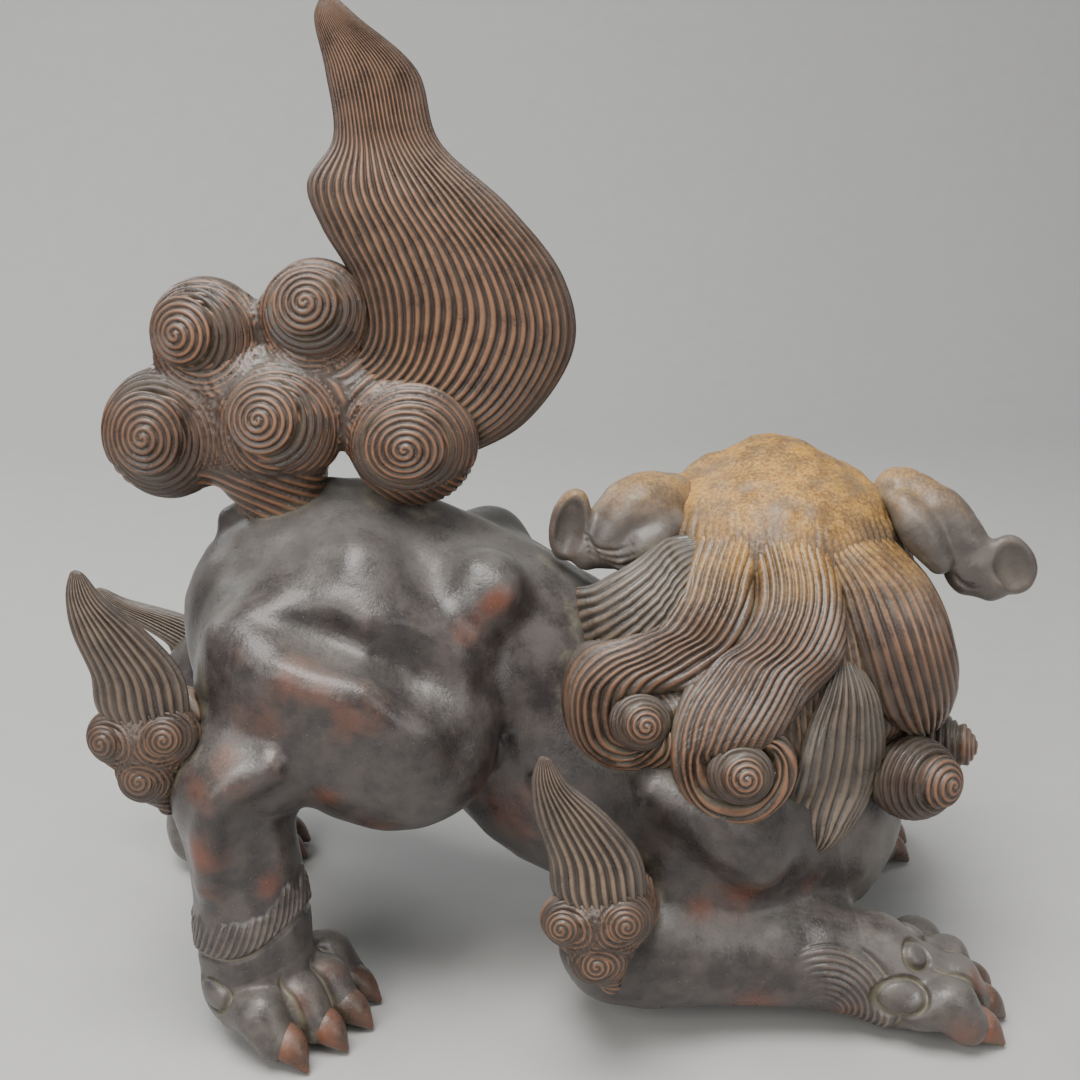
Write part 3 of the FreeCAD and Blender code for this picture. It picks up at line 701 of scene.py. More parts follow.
def paw_marks(points):
    """The relief on the paws and above them, with crest values: beads, gaps between toes, combed fringes."""
    relief, crest = np.zeros(len(points)), np.full(len(points), 0.5)
    for pair, side in PAWS:
        sign = SIDES[side]
        here = LEGS[pair][side]
        away = np.hypot(*(points[:, :2] - here["paw"][:2]).T)
        near = np.flatnonzero((points[:, 1] * sign > 22) & (away < 56) & (points[:, 2] < 62))
        x, y, z = points[near].T
        turn = math.radians(here["heading"])
        dx, dy = x - here["paw"][0], y - here["paw"][1]
        ahead = dx * math.cos(turn) + dy * math.sin(turn)
        aside = (dy * math.cos(turn) - dx * math.sin(turn)) * sign
        push, tone = np.zeros(len(near)), np.full(len(near), 0.5)
        # Shares of the way from each bead's middle to its edge.
        shares = [ellipsoid_share((ahead, aside, z), bead[:3], bead[3:]) for bead in BEADS]
        for m in shares:
            rim = np.exp(-(((m - 1.14) / 0.13) ** 2))
            push += 1.7 * np.sqrt(np.clip(1 - m**2, 0, 1)) - 1.5 * rim
            tone = np.minimum(tone, 0.5 - 0.42 * rim)
        for (a, reach_a), (b, reach_b) in zip(TOES[:-1], TOES[1:]):
            line = (a + b) / 2 * (TOE_WIDTH + TOE_FAN * (ahead - (reach_a + reach_b) / 2 + 8)) * sign
            within = np.clip((ahead - 3) / 3, 0, 1) * np.clip((28 - z) / 4, 0, 1)
            rim = np.exp(-(((aside - line) / 0.8) ** 2)) * within
            push -= 1.0 * rim
            tone = np.minimum(tone, 0.5 - 0.36 * rim)
        fringe = hind_fringe if pair == "hind" else fore_fringe
        lines, share, edge = fringe(points[near], side)
        clear = np.ones(len(near))
        for m in shares:
            clear = np.minimum(clear, np.clip((m - 1.3) / 0.15, 0, 1))
        share, edge = share * clear, edge * clear
        push += share * (0.55 + 0.9 * (lines - 0.5)) - 0.8 * edge
        tone = np.where(share > 0.3, 0.5 + (lines - 0.5) * share, tone)
        relief[near], crest[near] = push, np.minimum(tone, 1 - 0.85 * edge)
    return relief, crest


def paw_spot(pair, side):
    """A function that gives the point so far ahead of, aside from and above the middle of a paw's sole."""
    here = LEGS[pair][side]
    place, heading = np.array(here["paw"], float), math.radians(here["heading"])
    ahead = np.array((math.cos(heading), math.sin(heading), 0))
    aside = np.array((-math.sin(heading), math.cos(heading), 0))
    sole = place * (1, 1, 0)
    return lambda forward, sideways, height: sole + ahead * forward + aside * sideways + (0, 0, height)


def shape_paw(clay, pair, side):
    """A paw's pad and toes."""
    here = LEGS[pair][side]
    spot = paw_spot(pair, side)
    clay.ball(spot(-1, 0, 14), (20, 20, 14), 5, (0, 0, here["heading"]))
    toes = [spot(reach - 8, step * TOE_WIDTH, 13.5) for step, reach in TOES]
    ways = [spot(1, TOE_FAN * step, 0) - spot(0, 0, 0) for step, _ in TOES]
    for root, way in zip(toes, ways):
        clay.sweep([root, root + way * 9 + (0, 0, 2), root + way * 16 - (0, 0, 4.5)], (7.0, 8.4, 7.0), 1.5)
        clay.ball(root + way * 10 + (0, 0, 4.5), (7.6, 7.4, 6.2), 2)


def make_claws(pair, side):
    """The four stout claws of a paw."""
    spot = paw_spot(pair, side)
    middle = spot(0, 0, 0)
    claws = Clay(middle - (42, 34, 2), middle + (42, 34, 24), 0.55)
    for step, reach in TOES:
        way = spot(1, 0.175 * step, 0) - spot(0, 0, 0)
        root = spot(reach + 6, step * 11.6, 9.2)
        claws.sweep([root, root + way * 7 - (0, 0, 1.4), root + way * 13.5 - (0, 0, 7.0)], (6.3, 5.4, 1.3), 0)
    claws.flatten()
    points, quads = claws.mesh(1)
    piece(f"{pair}_claws_{side}", points, quads, "claw", [f"{pair}_claws_{side}"], "claw_clay")


def make_tuft(name, side, base, lean, rise=1.0):
    """A flame-shaped tuft of combed hair over three curls."""
    sign = SIDES[side]
    x, y, z = base
    stations = [
        ((x - 9 - 0.3 * lean, y, z - 8), (x + 10 - 0.3 * lean, y, z - 6), 5.0),
        ((x - 13 - 0.1 * lean, y, z + 2), (x + 13 - 0.2 * lean, y, z + 3), 6.4),
        ((x - 13, y - sign, z + 13 * rise), (x + 13, y - sign, z + 14 * rise), 6.4),
        ((x - 11 + 0.5 * lean, y, z + 27 * rise), (x + 10 + 0.5 * lean, y, z + 26 * rise), 5.4),
        ((x - 6 + lean, y, z + 38 * rise), (x + 5 + lean, y, z + 36 * rise), 3.7),
        ((x - 2.2 + 1.2 * lean, y, z + 44.6 * rise), (x + 2.2 + 1.2 * lean, y, z + 44 * rise), 1.5),
        ((x - 0.6 + 1.22 * lean, y, z + 46 * rise), (x + 0.6 + 1.22 * lean, y, z + 45.6 * rise), 0.5),
    ]
    mesh = combed(stations, 22, 0.8, face=(0, sign, 0), rows=90, sway=0.2, seed=3)
    strip(f"{name}_tuft_{side}", mesh, "tuft", "tuft_clay")
    rolls = ((-7, -7.5, 0.98, -0.3), (8.5, -6, 1.12, 0.12), (1.5, -20, 1.0, -0.05))
    curls = [((x + dx, y + 0.5 * sign, z + dz), 9.2 * share) for dx, dz, share, _ in rolls]
    stem = [
        ([(x + 2, y - 3 * sign, z - 9), (x + 8, y - 12 * sign, z - 10)], (12, 13)),
        ([(x + 3, y - 1 * sign, z - 18), (x + 6, y - 4 * sign, z - 33)], (8, 3)),
    ]
    node = f"{name}_curls_{side}"
    cluster(f"{name}_curl_base_{side}", curls, stem, 5, 0.62, [node], "tuft_clay", "tuft_curl", 2.3, 0.7)
    for number, (dx, dz, share, tip) in enumerate(rolls):
        centre, hand = (x + dx, y + 2.5 * sign, z + dz), -1 if number == 1 else 1
        mesh = curl(centre, 8.9 * share, (tip, sign, 0.1), (1, 0.68, 1), 2.3, 0.6, hand, 0.3 * number, 1.0)
        strip(f"{name}_curl_{side}_{number}", mesh, "tuft_curl", "tuft_clay", node)


# ---------------------------------------------------------------- head and mane

# The mounds that the two curls on the nape's right side lie on.
MOUNDS = [((28, -36, 109), (22, 20, 22)), ((60, -50, 96), (23.5, 20, 23.5))]
# The mound under the lock that fans out behind the ear.
FAN_MOUND = [((28, -12, 130), (19, 22, 26))]
# The middles and radii of the curls whose rings run on over the neck.
MANE_CURLS = [((29.5, -48, 105.5), 17.6), ((62, -55, 91.5), 18.4), ((122, -37, 79), 15.2)]
RING_RADIUS = 17
# X of the middle of the face.
FACE = 84


def scalp(p, mounds=MOUNDS):
    """Distance to the skull and the neck, on which the mane's locks lie, with mounds of clay on them."""
    skull = ellipsoid_distance(p, (81, 10, 151), (40, 42, 28.5))
    neck = ellipsoid_distance(p, (78, -5, 112), (60, 45.5, 49))
    chest = ellipsoid_distance(p, (66, 0, 62), (60, 50, 50))
    whole = merged(merged(skull, neck, 16), chest, 10)
    for centre, radii in mounds:
        whole = merged(whole, ellipsoid_distance(p, centre, radii), 14)
    return whole


def make_head():
    """The crown, the face, which looks along +Y, and the neck under the mane."""
    clay = Clay((12, -56, 62), (146, 100, 190), 0.9)
    clay.ball((81, 10, 151), (40, 42, 27.5))
    clay.ball((78, -5, 112), (59, 44.5, 48), 14)
    # The crown and the brow as they show over the nape.
    clay.ball((79.5, 14, 169), (13, 18, 13.5), 10)
    clay.ball((59.5, 18, 165.5), (8, 9, 9), 6)
    clay.ball((47, 8, 163), (7, 8, 7), 6)
    for centre, radii in MOUNDS:
        clay.ball(centre, np.array(radii) - 1, 12)
    clay.ball((FACE, 55, 141), (26, 30, 17), 8, (6, 0, 0))
    for aside in (-1, 1):
        clay.ball((FACE + 24 * aside, 46, 142), (11, 14, 11), 7)
        clay.ball((FACE + 17 * aside, 46, 155), (11, 8, 10), 4)
        for line, radii, blend in (
            ([(6, 56, 160), (9, 70, 153), (13, 80, 145)], (3, 3.2, 3), 3),
            ([(5, 65, 156), (13, 67, 160), (25, 60, 157.5), (34, 45, 150)], (4, 4.6, 4.4, 2.5), 2.5),
            ([(8, 73, 147), (17, 74, 143), (27, 64, 146)], (2, 2.4, 1.5), 1.5),
            ([(4, 84, 137), (16, 78, 137), (25, 62, 131), (27, 44, 126)], (3.4, 4.2, 4, 3), 2.5),
        ):
            clay.sweep([(FACE + x * aside, y, z) for x, y, z in line], radii, blend)
    clay.ball((FACE, 60, 156.5), (7.5, 9, 4.5), 3)
    for y, z in ((66, 158), (70.5, 156.5), (75, 154)):
        clay.sweep([(76, y - 1, z - 2.5), (FACE, y, z), (92, y - 1, z - 2.5)], (1.0, 1.9, 1.0), 1.5)
    clay.ball((FACE, 80, 149), (13, 9, 8.5), 3)
    for aside in (-1, 1):
        clay.ball((FACE + 11 * aside, 78, 147), (6, 7, 6), 3)
        clay.ball((FACE + 6 * aside, 88, 146.5), (3.2, 4, 2.8), 1.5, dig=True)
    clay.ball((FACE, 60, 122), (22, 30, 9.5), 3, (-4, 0, 0), dig=True)
    clay.ball((FACE, 46, 110), (21.5, 30, 10), 5, (-12, 0, 0))
    clay.sweep([(64, 48, 119), (70, 66, 112), (FACE, 74, 110), (98, 66, 112), (104, 48, 119)], 3.2, 2)
    clay.ball((FACE, 54, 121), (15, 22, 5), 2.5, (-10, 0, 0), dig=True)
    clay.ball((FACE, 72, 102), (9, 6, 6), 4)
    points, quads = clay.mesh(2)
    normals = normals_of(points, quads)
    hair, crest = neck_hair(points)
    points = points + normals * (hair * (crest - 0.6) * 1.3 + 0.3 * waves(points, 16, 6, seed=9))[:, None]
    crest = 0.5 + hair * (crest - 0.5)
    nodes = ["head", "lower_jaw", "nose", "brow_left", "brow_right", "neck"]
    piece("head", points, quads, "head", nodes, "ash_clay", crest=crest)


def neck_hair(points):
    """Where the neck is combed and the crests there, with rings where it meets a curl."""
    x, y, z = points.T
    angle = np.arctan2(y + 5, x - 78)
    hair = 1 / (1 + np.exp((z - 140 + 0.5 * np.maximum(y - 5, 0)) / 2.0)) * (y < 60) * (scalp((x, y, z)) > -6)
    hair *= 1 / (1 + np.exp((y - 22) / 2))
    crest = ridge(angle / (2 * math.pi) * 120 + 0.02 * (z - 100))
    rings, share = rings_round(points, MANE_CURLS, 3.0, 1.2)
    share = share * (y < -12)
    crest = crest * (1 - share) + rings * share
    hair = np.maximum(hair, share)
    # The strands of the nape start on the crown.
    roots = np.clip((165 - z) / 6, 0, 1) * np.clip((z - 140) / 4, 0, 1) * np.clip((8 - y) / 6, 0, 1)
    strands = ridge((x - 80) * (1 + 0.01 * (z - 160)) / 2.2 + 0.3 * waves(points, 30, 12, seed=4))
    crest = np.where(roots > 0.02, strands, crest)
    return np.maximum(hair, 0.75 * roots), crest


def make_mouth_and_eyes():
    """The tongue, the teeth and the eyes."""
    tongue = Clay((60, 20, 104), (108, 90, 132), 0.7)
    tongue.ball((FACE, 52, 116.5), (11, 20, 4.0), 0, (-8, 0, 0))
    tongue.sweep([(FACE, 36, 121), (FACE, 54, 121), (FACE, 69, 116.5)], 0.8, 2, dig=True)
    piece("tongue", *tongue.mesh(2), "mouth", ["tongue"], "mouth_clay")
    for name, height, way, spots in (
        ("upper_fangs", 133, -1, ((-19, 68), (-13, 74), (-7, 78), (0, 79), (7, 78), (13, 74), (19, 68))),
        ("lower_fangs", 113, 1, ((-14, 63), (-8, 68), (0, 70), (8, 68), (14, 63))),
    ):
        teeth = Clay((56, 50, 104), (112, 92, 142), 0.6)
        for number, (aside, y) in enumerate(spots):
            fang = number in (0, len(spots) - 1)
            long, wide, tip = (9, 3.2, 0.7) if fang else (4.2, 2.9, 2.2)
            tooth = [(0, height), (0.8, height + way * long * 0.5), (0.3, height + way * long)]
            teeth.sweep([(FACE + aside, y + ahead, z) for ahead, z in tooth], (wide, wide * 0.85, tip), 0.4)
        piece(name, *teeth.mesh(1), "tooth", [name], "tooth_clay")
    for side, sign in SIDES.items():
        eye = Clay((FACE - sign * 16 - 13, 52, 138), (FACE - sign * 16 + 13, 82, 164), 0.6)
        eye.ball((FACE - sign * 16, 67, 151), 8.6)
        eye.ball((FACE - sign * 15.5, 75.2, 150.5), (3.0, 2.2, 3.0), 0.5, dig=True)
        piece(f"eye_{side}", *eye.mesh(2), "eye", [f"eye_{side}"], "eye_clay")


def make_ears():
    """Drooping ears: a plump rolled leaf with a fold along it and an upturned, dished end."""
    shapes = {
        "left": {
            "body": ((44, 3, 164), (33, -3, 161), (25, -6, 155)),
            "thick": (8.5, 12.5, 10.5),
            "flap": ((44, -8, 158), (36, -14, 153), (28, -15, 148)),
            "crease": [[(46, 165), (42, 163.5), (38, 161), (34, 158), (30.5, 154)]],
            "neck": ((24, -9, 151), (16, -10, 149)),
            "spoon": (9.8, -9, 158),
            "size": (6.8, 5.0, 12.8),
            "turn": (0, 14, -20),
            "dish": (5.0, 3.2, 10.2),
            "comb": [
                [(15 + 0.5 * k, 156 - 1.9 * k), (18 + 0.7 * k, 152.5 - 2.1 * k), (22 + k, 151.5 - 2.3 * k),
                 (26 + 1.1 * k, 152 - 2.3 * k), (30 + 1.2 * k, 154 - 2.3 * k)]
                for k in range(6)
            ],
            "low": (-4, -36, 132),
            "high": (58, 24, 184),
        },
        "right": {
            "body": ((121, 3, 165), (133, -3, 158), (143, -6, 146)),
            "thick": (9.5, 10.5, 9.0),
            "flap": ((119, -8, 164), (124, -13, 157), (131, -14, 147)),
            "crease": [[(119.5, 169), (123, 166), (126.5, 162), (129.5, 157), (132, 151)]],
            "neck": ((143, -9, 141), (150, -10, 138)),
            "spoon": (156.6, -9, 144),
            "size": (8.6, 5.0, 11.2),
            "turn": (0, -32, 14),
            "dish": (6.6, 3.2, 9.0),
            "comb": [
                [(130 + 2.4 * k, 148 - 2.0 * k), (132.5 + 2.4 * k, 144.5 - 1.8 * k),
                 (135 + 2.3 * k, 142.5 - 1.5 * k), (138 + 2.2 * k, 142 - 1.2 * k)]
                for k in range(4)
            ],
            "low": (106, -36, 120),
            "high": (174, 24, 186),
        },
    }
    for side, shape in shapes.items():
        clay = Clay(shape["low"], shape["high"], 0.6)
        clay.sweep(shape["body"], shape["thick"], 0)
        clay.sweep(shape["flap"], (5.0, 6.5, 4.5), 3.0)
        clay.sweep(shape["neck"], (7.0, 6.0), 5)
        spoon = np.array(shape["spoon"], float)
        clay.ball(spoon, shape["size"], 3.5, shape["turn"])
        clay.ball(spoon + (0, -4.2, 0.5), shape["dish"], 1.4, shape["turn"], dig=True)
        for line in shape["comb"]:
            radii = np.interp(np.linspace(0, 1, len(line)), (0, 0.5, 1), (0.2, 0.6, 0.2))
            clay.comb([line], -1, radii, 0.8, dig=True)
        clay.comb(shape["crease"], -1, (0.6, 1.2, 1.5, 1.3, 0.5), 2.0, dig=True)
        points, quads = clay.mesh(2)
        normals = normals_of(points, quads)
        points += normals * (0.2 * waves(points, 14, 6, seed=5))[:, None]
        piece(f"ear_{side}", points, quads, "ear", [f"ear_{side}"], "ash_clay")


def within_ring(middles, middle):
    """1 for the faces of a lock that lie on the ring round its curl, 0 for the rest."""
    return (np.hypot(middles[:, 0] - middle[0], middles[:, 2] - middle[1]) < RING_RADIUS).astype(int)


def make_mane():
    """The locks that fall over the nape, with their curls, the cheek locks and the beard."""
    locks = {
        "mane_lock_fan": (26, [
            ((50, 159), (54, 146), 3.0), ((40, 155), (48, 135), 4.5), ((31, 151), (42, 124), 5.5),
            ((23, 147), (35, 115), 6.0), ((17, 143), (28, 109), 5.0), ((12, 140), (22, 106), 2.0),
        ], None, 0.8),
        "mane_lock_rear": (24, [
            ((48, 160), (67, 163), 2.2), ((45, 149), (67, 150), 4.6), ((42, 139), (66, 139), 6.0),
            ((35, 132), (61, 127), 6.2), ((25, 130), (50, 119), 5.6), ((15, 127), (36, 117), 5.0),
            ((9, 120), (25, 114), 4.4), ((7.5, 110), (23.5, 109.5), 4.2), ((10.5, 99), (25.5, 104), 4.2),
            ((19.5, 91.5), (29.5, 101.5), 4.0), ((31.5, 91), (34, 101), 3.6), ((40, 96), (37.5, 104), 2.6),
            ((42.5, 104), (39.5, 107), 1.0),
        ], None, 0.9),
        "mane_lock_middle": (24, [
            ((66, 163), (91, 161), 2.2), ((68, 149), (95, 147), 5.0), ((66, 139), (96, 136), 7.0),
            ((60, 131), (94, 125), 7.2), ((51, 124), (84, 114), 6.4), ((43.5, 116), (69, 105), 5.2),
            ((40.5, 104), (53, 102), 4.4), ((42, 93), (52, 95), 4.4), ((48, 84.5), (55, 91), 4.4),
            ((58, 80), (60, 89), 4.2), ((68, 81.5), (66, 90.5), 3.8), ((76, 89), (70, 95), 3.0),
            ((78, 98), (71.5, 99.5), 2.6), ((75, 105.5), (70, 103.5), 1.8), ((69, 109.5), (67, 106), 0.6),
        ], None, 0.9),
        "mane_lock_front": (24, [
            ((91, 160), (115, 158), 2.2), ((95, 147), (125, 144), 5.0), ((98, 135), (132, 131), 7.0),
            ((104, 118), (137, 114), 7.5), ((110, 105), (138, 102), 6.5), ((117, 97), (137, 94), 4.5),
            ((128, 91), (135, 89.5), 1.5),
        ], None, 0.9),
        "nape_lock": (22, [
            ((94, 126), (99, 126), 1.5), ((89, 116), (106, 114), 3.5), ((83, 102), (110, 98), 5.5),
            ((79, 86), (111, 82), 6.5), ((78.5, 73), (106, 70), 6.6), ((82.5, 64), (97, 62), 5.2),
            ((86.5, 58), (89.5, 57.8), 1.6),
        ], (0.15, 0.2, 1.6), 0.8),
    }
    for number, (name, (ridges, stations, swell, deep)) in enumerate(locks.items()):
        wrapped = {"mane_lock_rear": (26, 109), "mane_lock_middle": (59.5, 97)}.get(name)
        strand = 2.35 if wrapped else None
        host = partial(scalp, mounds=FAN_MOUND) if name == "mane_lock_fan" else scalp
        rows, seed = 240 if wrapped else 150, 20 + number
        more = {"rows": rows, "swell": swell, "seed": seed, "ends": (0.4, 0.0), "sunk": 3.0, "strand": strand}
        mesh = combed(stations, ridges, deep, host=host, **more)
        if not wrapped:
            strip(name, mesh, "mane_pale" if name in ("nape_lock", "mane_lock_fan") else "mane", "mane_clay")
            continue
        # The lock's strands run on round its curl.
        around = name.replace("lock", "curl")
        ring = partial(within_ring, middle=wrapped)
        names, slots = [name, f"{around}_ring"], ["mane_clay", "curl_clay"]
        piece(names, *mesh[:2], ["mane", "mane"], [[name], [around]], slots, mesh[2], mesh[3], split=ring)
    for name, centre, radius, pole, squash, pitch, hand in (
        ("mane_curl_rear", (30.8, -57, 108.8), 9.6, (0.12, -1, 0.25), (1, 0.95, 1), 2.5, 1),
        ("mane_curl_middle", (60.5, -69.5, 97.5), 10.2, (0.05, -1, 0.25), (1, 0.95, 1), 2.6, 1),
        ("mane_curl_front", (122, -37, 80), 15.2, (0.6, -0.8, 0.15), (1, 0.85, 1), 3.0, -1),
        ("mane_curl_chest", (137, -4, 76), 13.0, (1, -0.25, 0.1), (1, 0.85, 1), 3.0, -1),
    ):
        mesh = curl(centre, radius, pole, squash, pitch, 0.8, hand, 0.2)
        strip(name, mesh, "curl", "curl_clay")
    for side, sign in SIDES.items():
        out = -sign
        stations = [
            ((FACE + 30 * out, 4, 162), (FACE + 26 * out, 28, 166), 3.0),
            ((FACE + 37 * out, 6, 148), (FACE + 33 * out, 36, 149), 6.5),
            ((FACE + 43 * out, 12, 132), (FACE + 38 * out, 44, 131), 8.0),
            ((FACE + 46 * out, 22, 118), (FACE + 40 * out, 52, 116), 7.0),
            ((FACE + 46 * out, 32, 108), (FACE + 41 * out, 56, 104), 4.0),
        ]
        mesh = combed(stations, 26, 0.85, face=(out, 0, 0), rows=110, seed=31)
        strip(f"cheek_lock_{side}", mesh, "mane", "mane_clay")
        mesh = curl((FACE + 41 * out, 50, 104), 15.5, (out, 0.6, 0.05), (1, 0.95, 1), 2.9, 0.8, int(out), 0.4)
        strip(f"cheek_curl_{side}", mesh, "curl", "curl_clay")
    stations = [
        ((72, 46, 108), (96, 46, 108), 4.0), ((71, 54, 98), (97, 54, 98), 6.5),
        ((72, 58, 88), (96, 58, 88), 7.0), ((76, 60, 78), (92, 60, 78), 5.0),
        ((80, 59, 70), (88, 59, 70), 2.5), ((83.4, 58, 65), (84.6, 58, 65), 0.5),
    ]
    mesh = combed(stations, 18, 0.8, face=(0, 1, 0), rows=90, seed=8)
    strip("beard", mesh, "mane", "mane_clay")


# ---------------------------------------------------------------- tail


def make_tail():
    """The tail's combed root, its five curls and its flame-shaped plume."""
    curls = {
        "tail_curl_rear_low": (21.6, (-122.5, -2, 187.5), (-0.13, -1, 0.1), 1, (0.97, 0.85, 1.06)),
        "tail_curl_rear_high": (18.8, (-108, 2, 219.6), (-0.33, -1, 0.11), 1, (1, 0.88, 1.02)),
        "tail_curl_middle": (20.4, (-83.5, -8, 192), (-0.2, -1, 0.23), 1, (1, 0.86, 1)),
        "tail_curl_high": (18.0, (-72, 0, 226.4), (-0.06, -1, 0.3), 1, (1, 0.88, 1)),
        "tail_curl_front": (21.4, (-41, -8, 185.8), (-0.05, -1, 0.08), 1, (1.04, 0.86, 0.92)),
    }
    stem = [
        ([(-82, 0, 140), (-84, 0, 162), (-92, 0, 182)], (15, 14.5, 18)),
        ([(-100, 1, 200), (-60, 1, 200)], (13, 12)),
    ]
    balls = [(centre, radius) for radius, centre, *_ in curls.values()]
    cluster("tail_root", balls, stem, 9, 0.72, ["tail_root"], "tail_clay", "curl", 3.1, 0.85)
    for number, (name, (radius, centre, pole, hand, squash)) in enumerate(curls.items()):
        mesh = curl(centre, radius, pole, squash, 3.1, 0.95, hand, 0.17 * number)
        strip(name, mesh, "curl", "curl_clay")
    stations = [
        ((-76, 2, 214), (-50, 2, 174), 9.0), ((-62, 2, 214), (-30, 2, 178), 11.5),
        ((-57, 2, 224), (-6, 2, 190), 12.5), ((-61, 2, 240), (10, 2, 214), 13.0),
        ((-69, 3, 254), (7, 3, 237), 13.0), ((-73, 4, 267), (-10, 4, 259), 11.0),
        ((-65, 8, 281), (-32, 8, 279), 8.5), ((-67, 10, 301), (-39, 10, 301), 6.5),
        ((-70, 10, 316), (-57, 10, 317), 4.0), ((-68, 10, 323), (-64, 10, 323.5), 1.2),
    ]
    mesh = combed(stations, 52, 0.85, rows=260, sway=0.3, seed=42)
    strip("tail_plume", mesh, "plume", "tail_clay")


# ---------------------------------------------------------------- enclosure, dust and wear


def shade_pieces():
    """How enclosed every point is, from the distance field of the whole statue."""
    step, reach = 1.6, 12.8
    low, high = np.array((-175.0, -115.0, -15.0)), np.array((180.0, 115.0, 340.0))
    shape = np.ceil((high - low) / step).astype(int)
    field = np.full(shape, reach, np.float32)
    for item in PIECES:
        points = (item["points"] - low) / step
        grid = vdb.FloatGrid.createLevelSetFromPolygons(
            points.astype(np.float32), quads=item["quads"].astype(np.uint32),
            triangles=item["triangles"].astype(np.uint32), halfWidth=8.0)
        i = np.clip(np.floor(points.min(0) - 9).astype(int), 0, shape)
        j = np.clip(np.ceil(points.max(0) + 9).astype(int), 0, shape)
        part = np.empty(j - i, np.float32)
        grid.copyToArray(part, ijk=tuple(int(v) for v in i))
        where = tuple(slice(a, b) for a, b in zip(i, j))
        field[where] = np.minimum(field[where], part * step)
    ground = (low[2] + step * np.arange(shape[2]))[None, None, :]
    field = np.minimum(field, np.maximum(ground, 0))
    for item in PIECES:
        shut = np.zeros(len(item["points"]))
        # A clear surface has nothing within these distances in front of it.
        for away in (2.5, 5.0, 9.0):
            at = (item["points"] + item["normals"] * away - low) / step
            at = np.clip(at, 0, shape - 1.001)
            i = at.astype(int)
            f = at - i
            # The field's value there, mixed from those of the eight grid points around it.
            value = 0.0
            for corner in range(8):
                bit = np.array([corner >> k & 1 for k in range(3)])
                weight = np.prod(np.where(bit, f, 1 - f), axis=1)
                k = i + bit
                value = value + weight * field[k[:, 0], k[:, 1], k[:, 2]]
            shut += np.clip(1 - value / away, 0, 1) / 3
        item["values"]["shut"] = shut


def rust_at(points):
    """How much handling has worn the skin at every point."""
    worn = np.zeros(len(points))
    blur = 1 + 0.13 * waves(points, 24, 7, seed=12)
    for (x, y, z), radius in RUST:
        for sign in (-1, 1):
            away = np.linalg.norm(points - (x, y * sign, z), axis=1)
            worn = np.maximum(worn, np.exp(-((away * blur / radius) ** 2)))
    return worn


def publish():
    """Make every mesh, with its shading values, in the row frame and in metres."""
    for item in PIECES:
        item["values"]["worn"] = rust_at(item["points"])
        quads, triangles, split = item["quads"], item["triangles"], item["split"]
        if split is None:
            publish_one(item, quads, triangles, *item["look"])
            continue
        quad_part, triangle_part = (split(item["points"][faces].mean(1)) for faces in (quads, triangles))
        for number, look in enumerate(zip(*item["look"])):
            publish_one(item, quads[quad_part == number], triangles[triangle_part == number], *look)


def publish_one(item, quads, triangles, name, material, nodes, slot):
    """Make one mesh of the faces given."""
    used, at = np.unique(np.concatenate([quads.ravel(), triangles.ravel()]), return_inverse=True)
    mesh = bpy.data.meshes.new(name)
    points = (item["points"][used] - MIDDLE) / 1000
    mesh.vertices.add(len(points))
    mesh.vertices.foreach_set("co", points.astype(np.float32).ravel())
    mesh.loops.add(len(at))
    mesh.loops.foreach_set("vertex_index", at.astype(np.int32))
    starts = np.concatenate([np.arange(len(quads)) * 4, 4 * len(quads) + np.arange(len(triangles)) * 3])
    mesh.polygons.add(len(starts))
    mesh.polygons.foreach_set("loop_start", starts.astype(np.int32))
    mesh.polygons.foreach_set("use_smooth", np.ones(len(starts), bool))
    mesh.update(calc_edges=True)
    for key, value in item["values"].items():
        mesh.attributes.new(key, "FLOAT", "POINT").data.foreach_set("value", value[used].astype(np.float32))
    if item["split"]:
        mesh.normals_split_custom_set_from_vertices(item["normals"][used])
    mesh.materials.append(MATERIALS[material])
    thing = bpy.data.objects.new(f"{name}_look", mesh)
    bpy.context.scene.collection.objects.link(thing)
    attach(thing, "root")
    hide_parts(*nodes)


# ---------------------------------------------------------------- materials


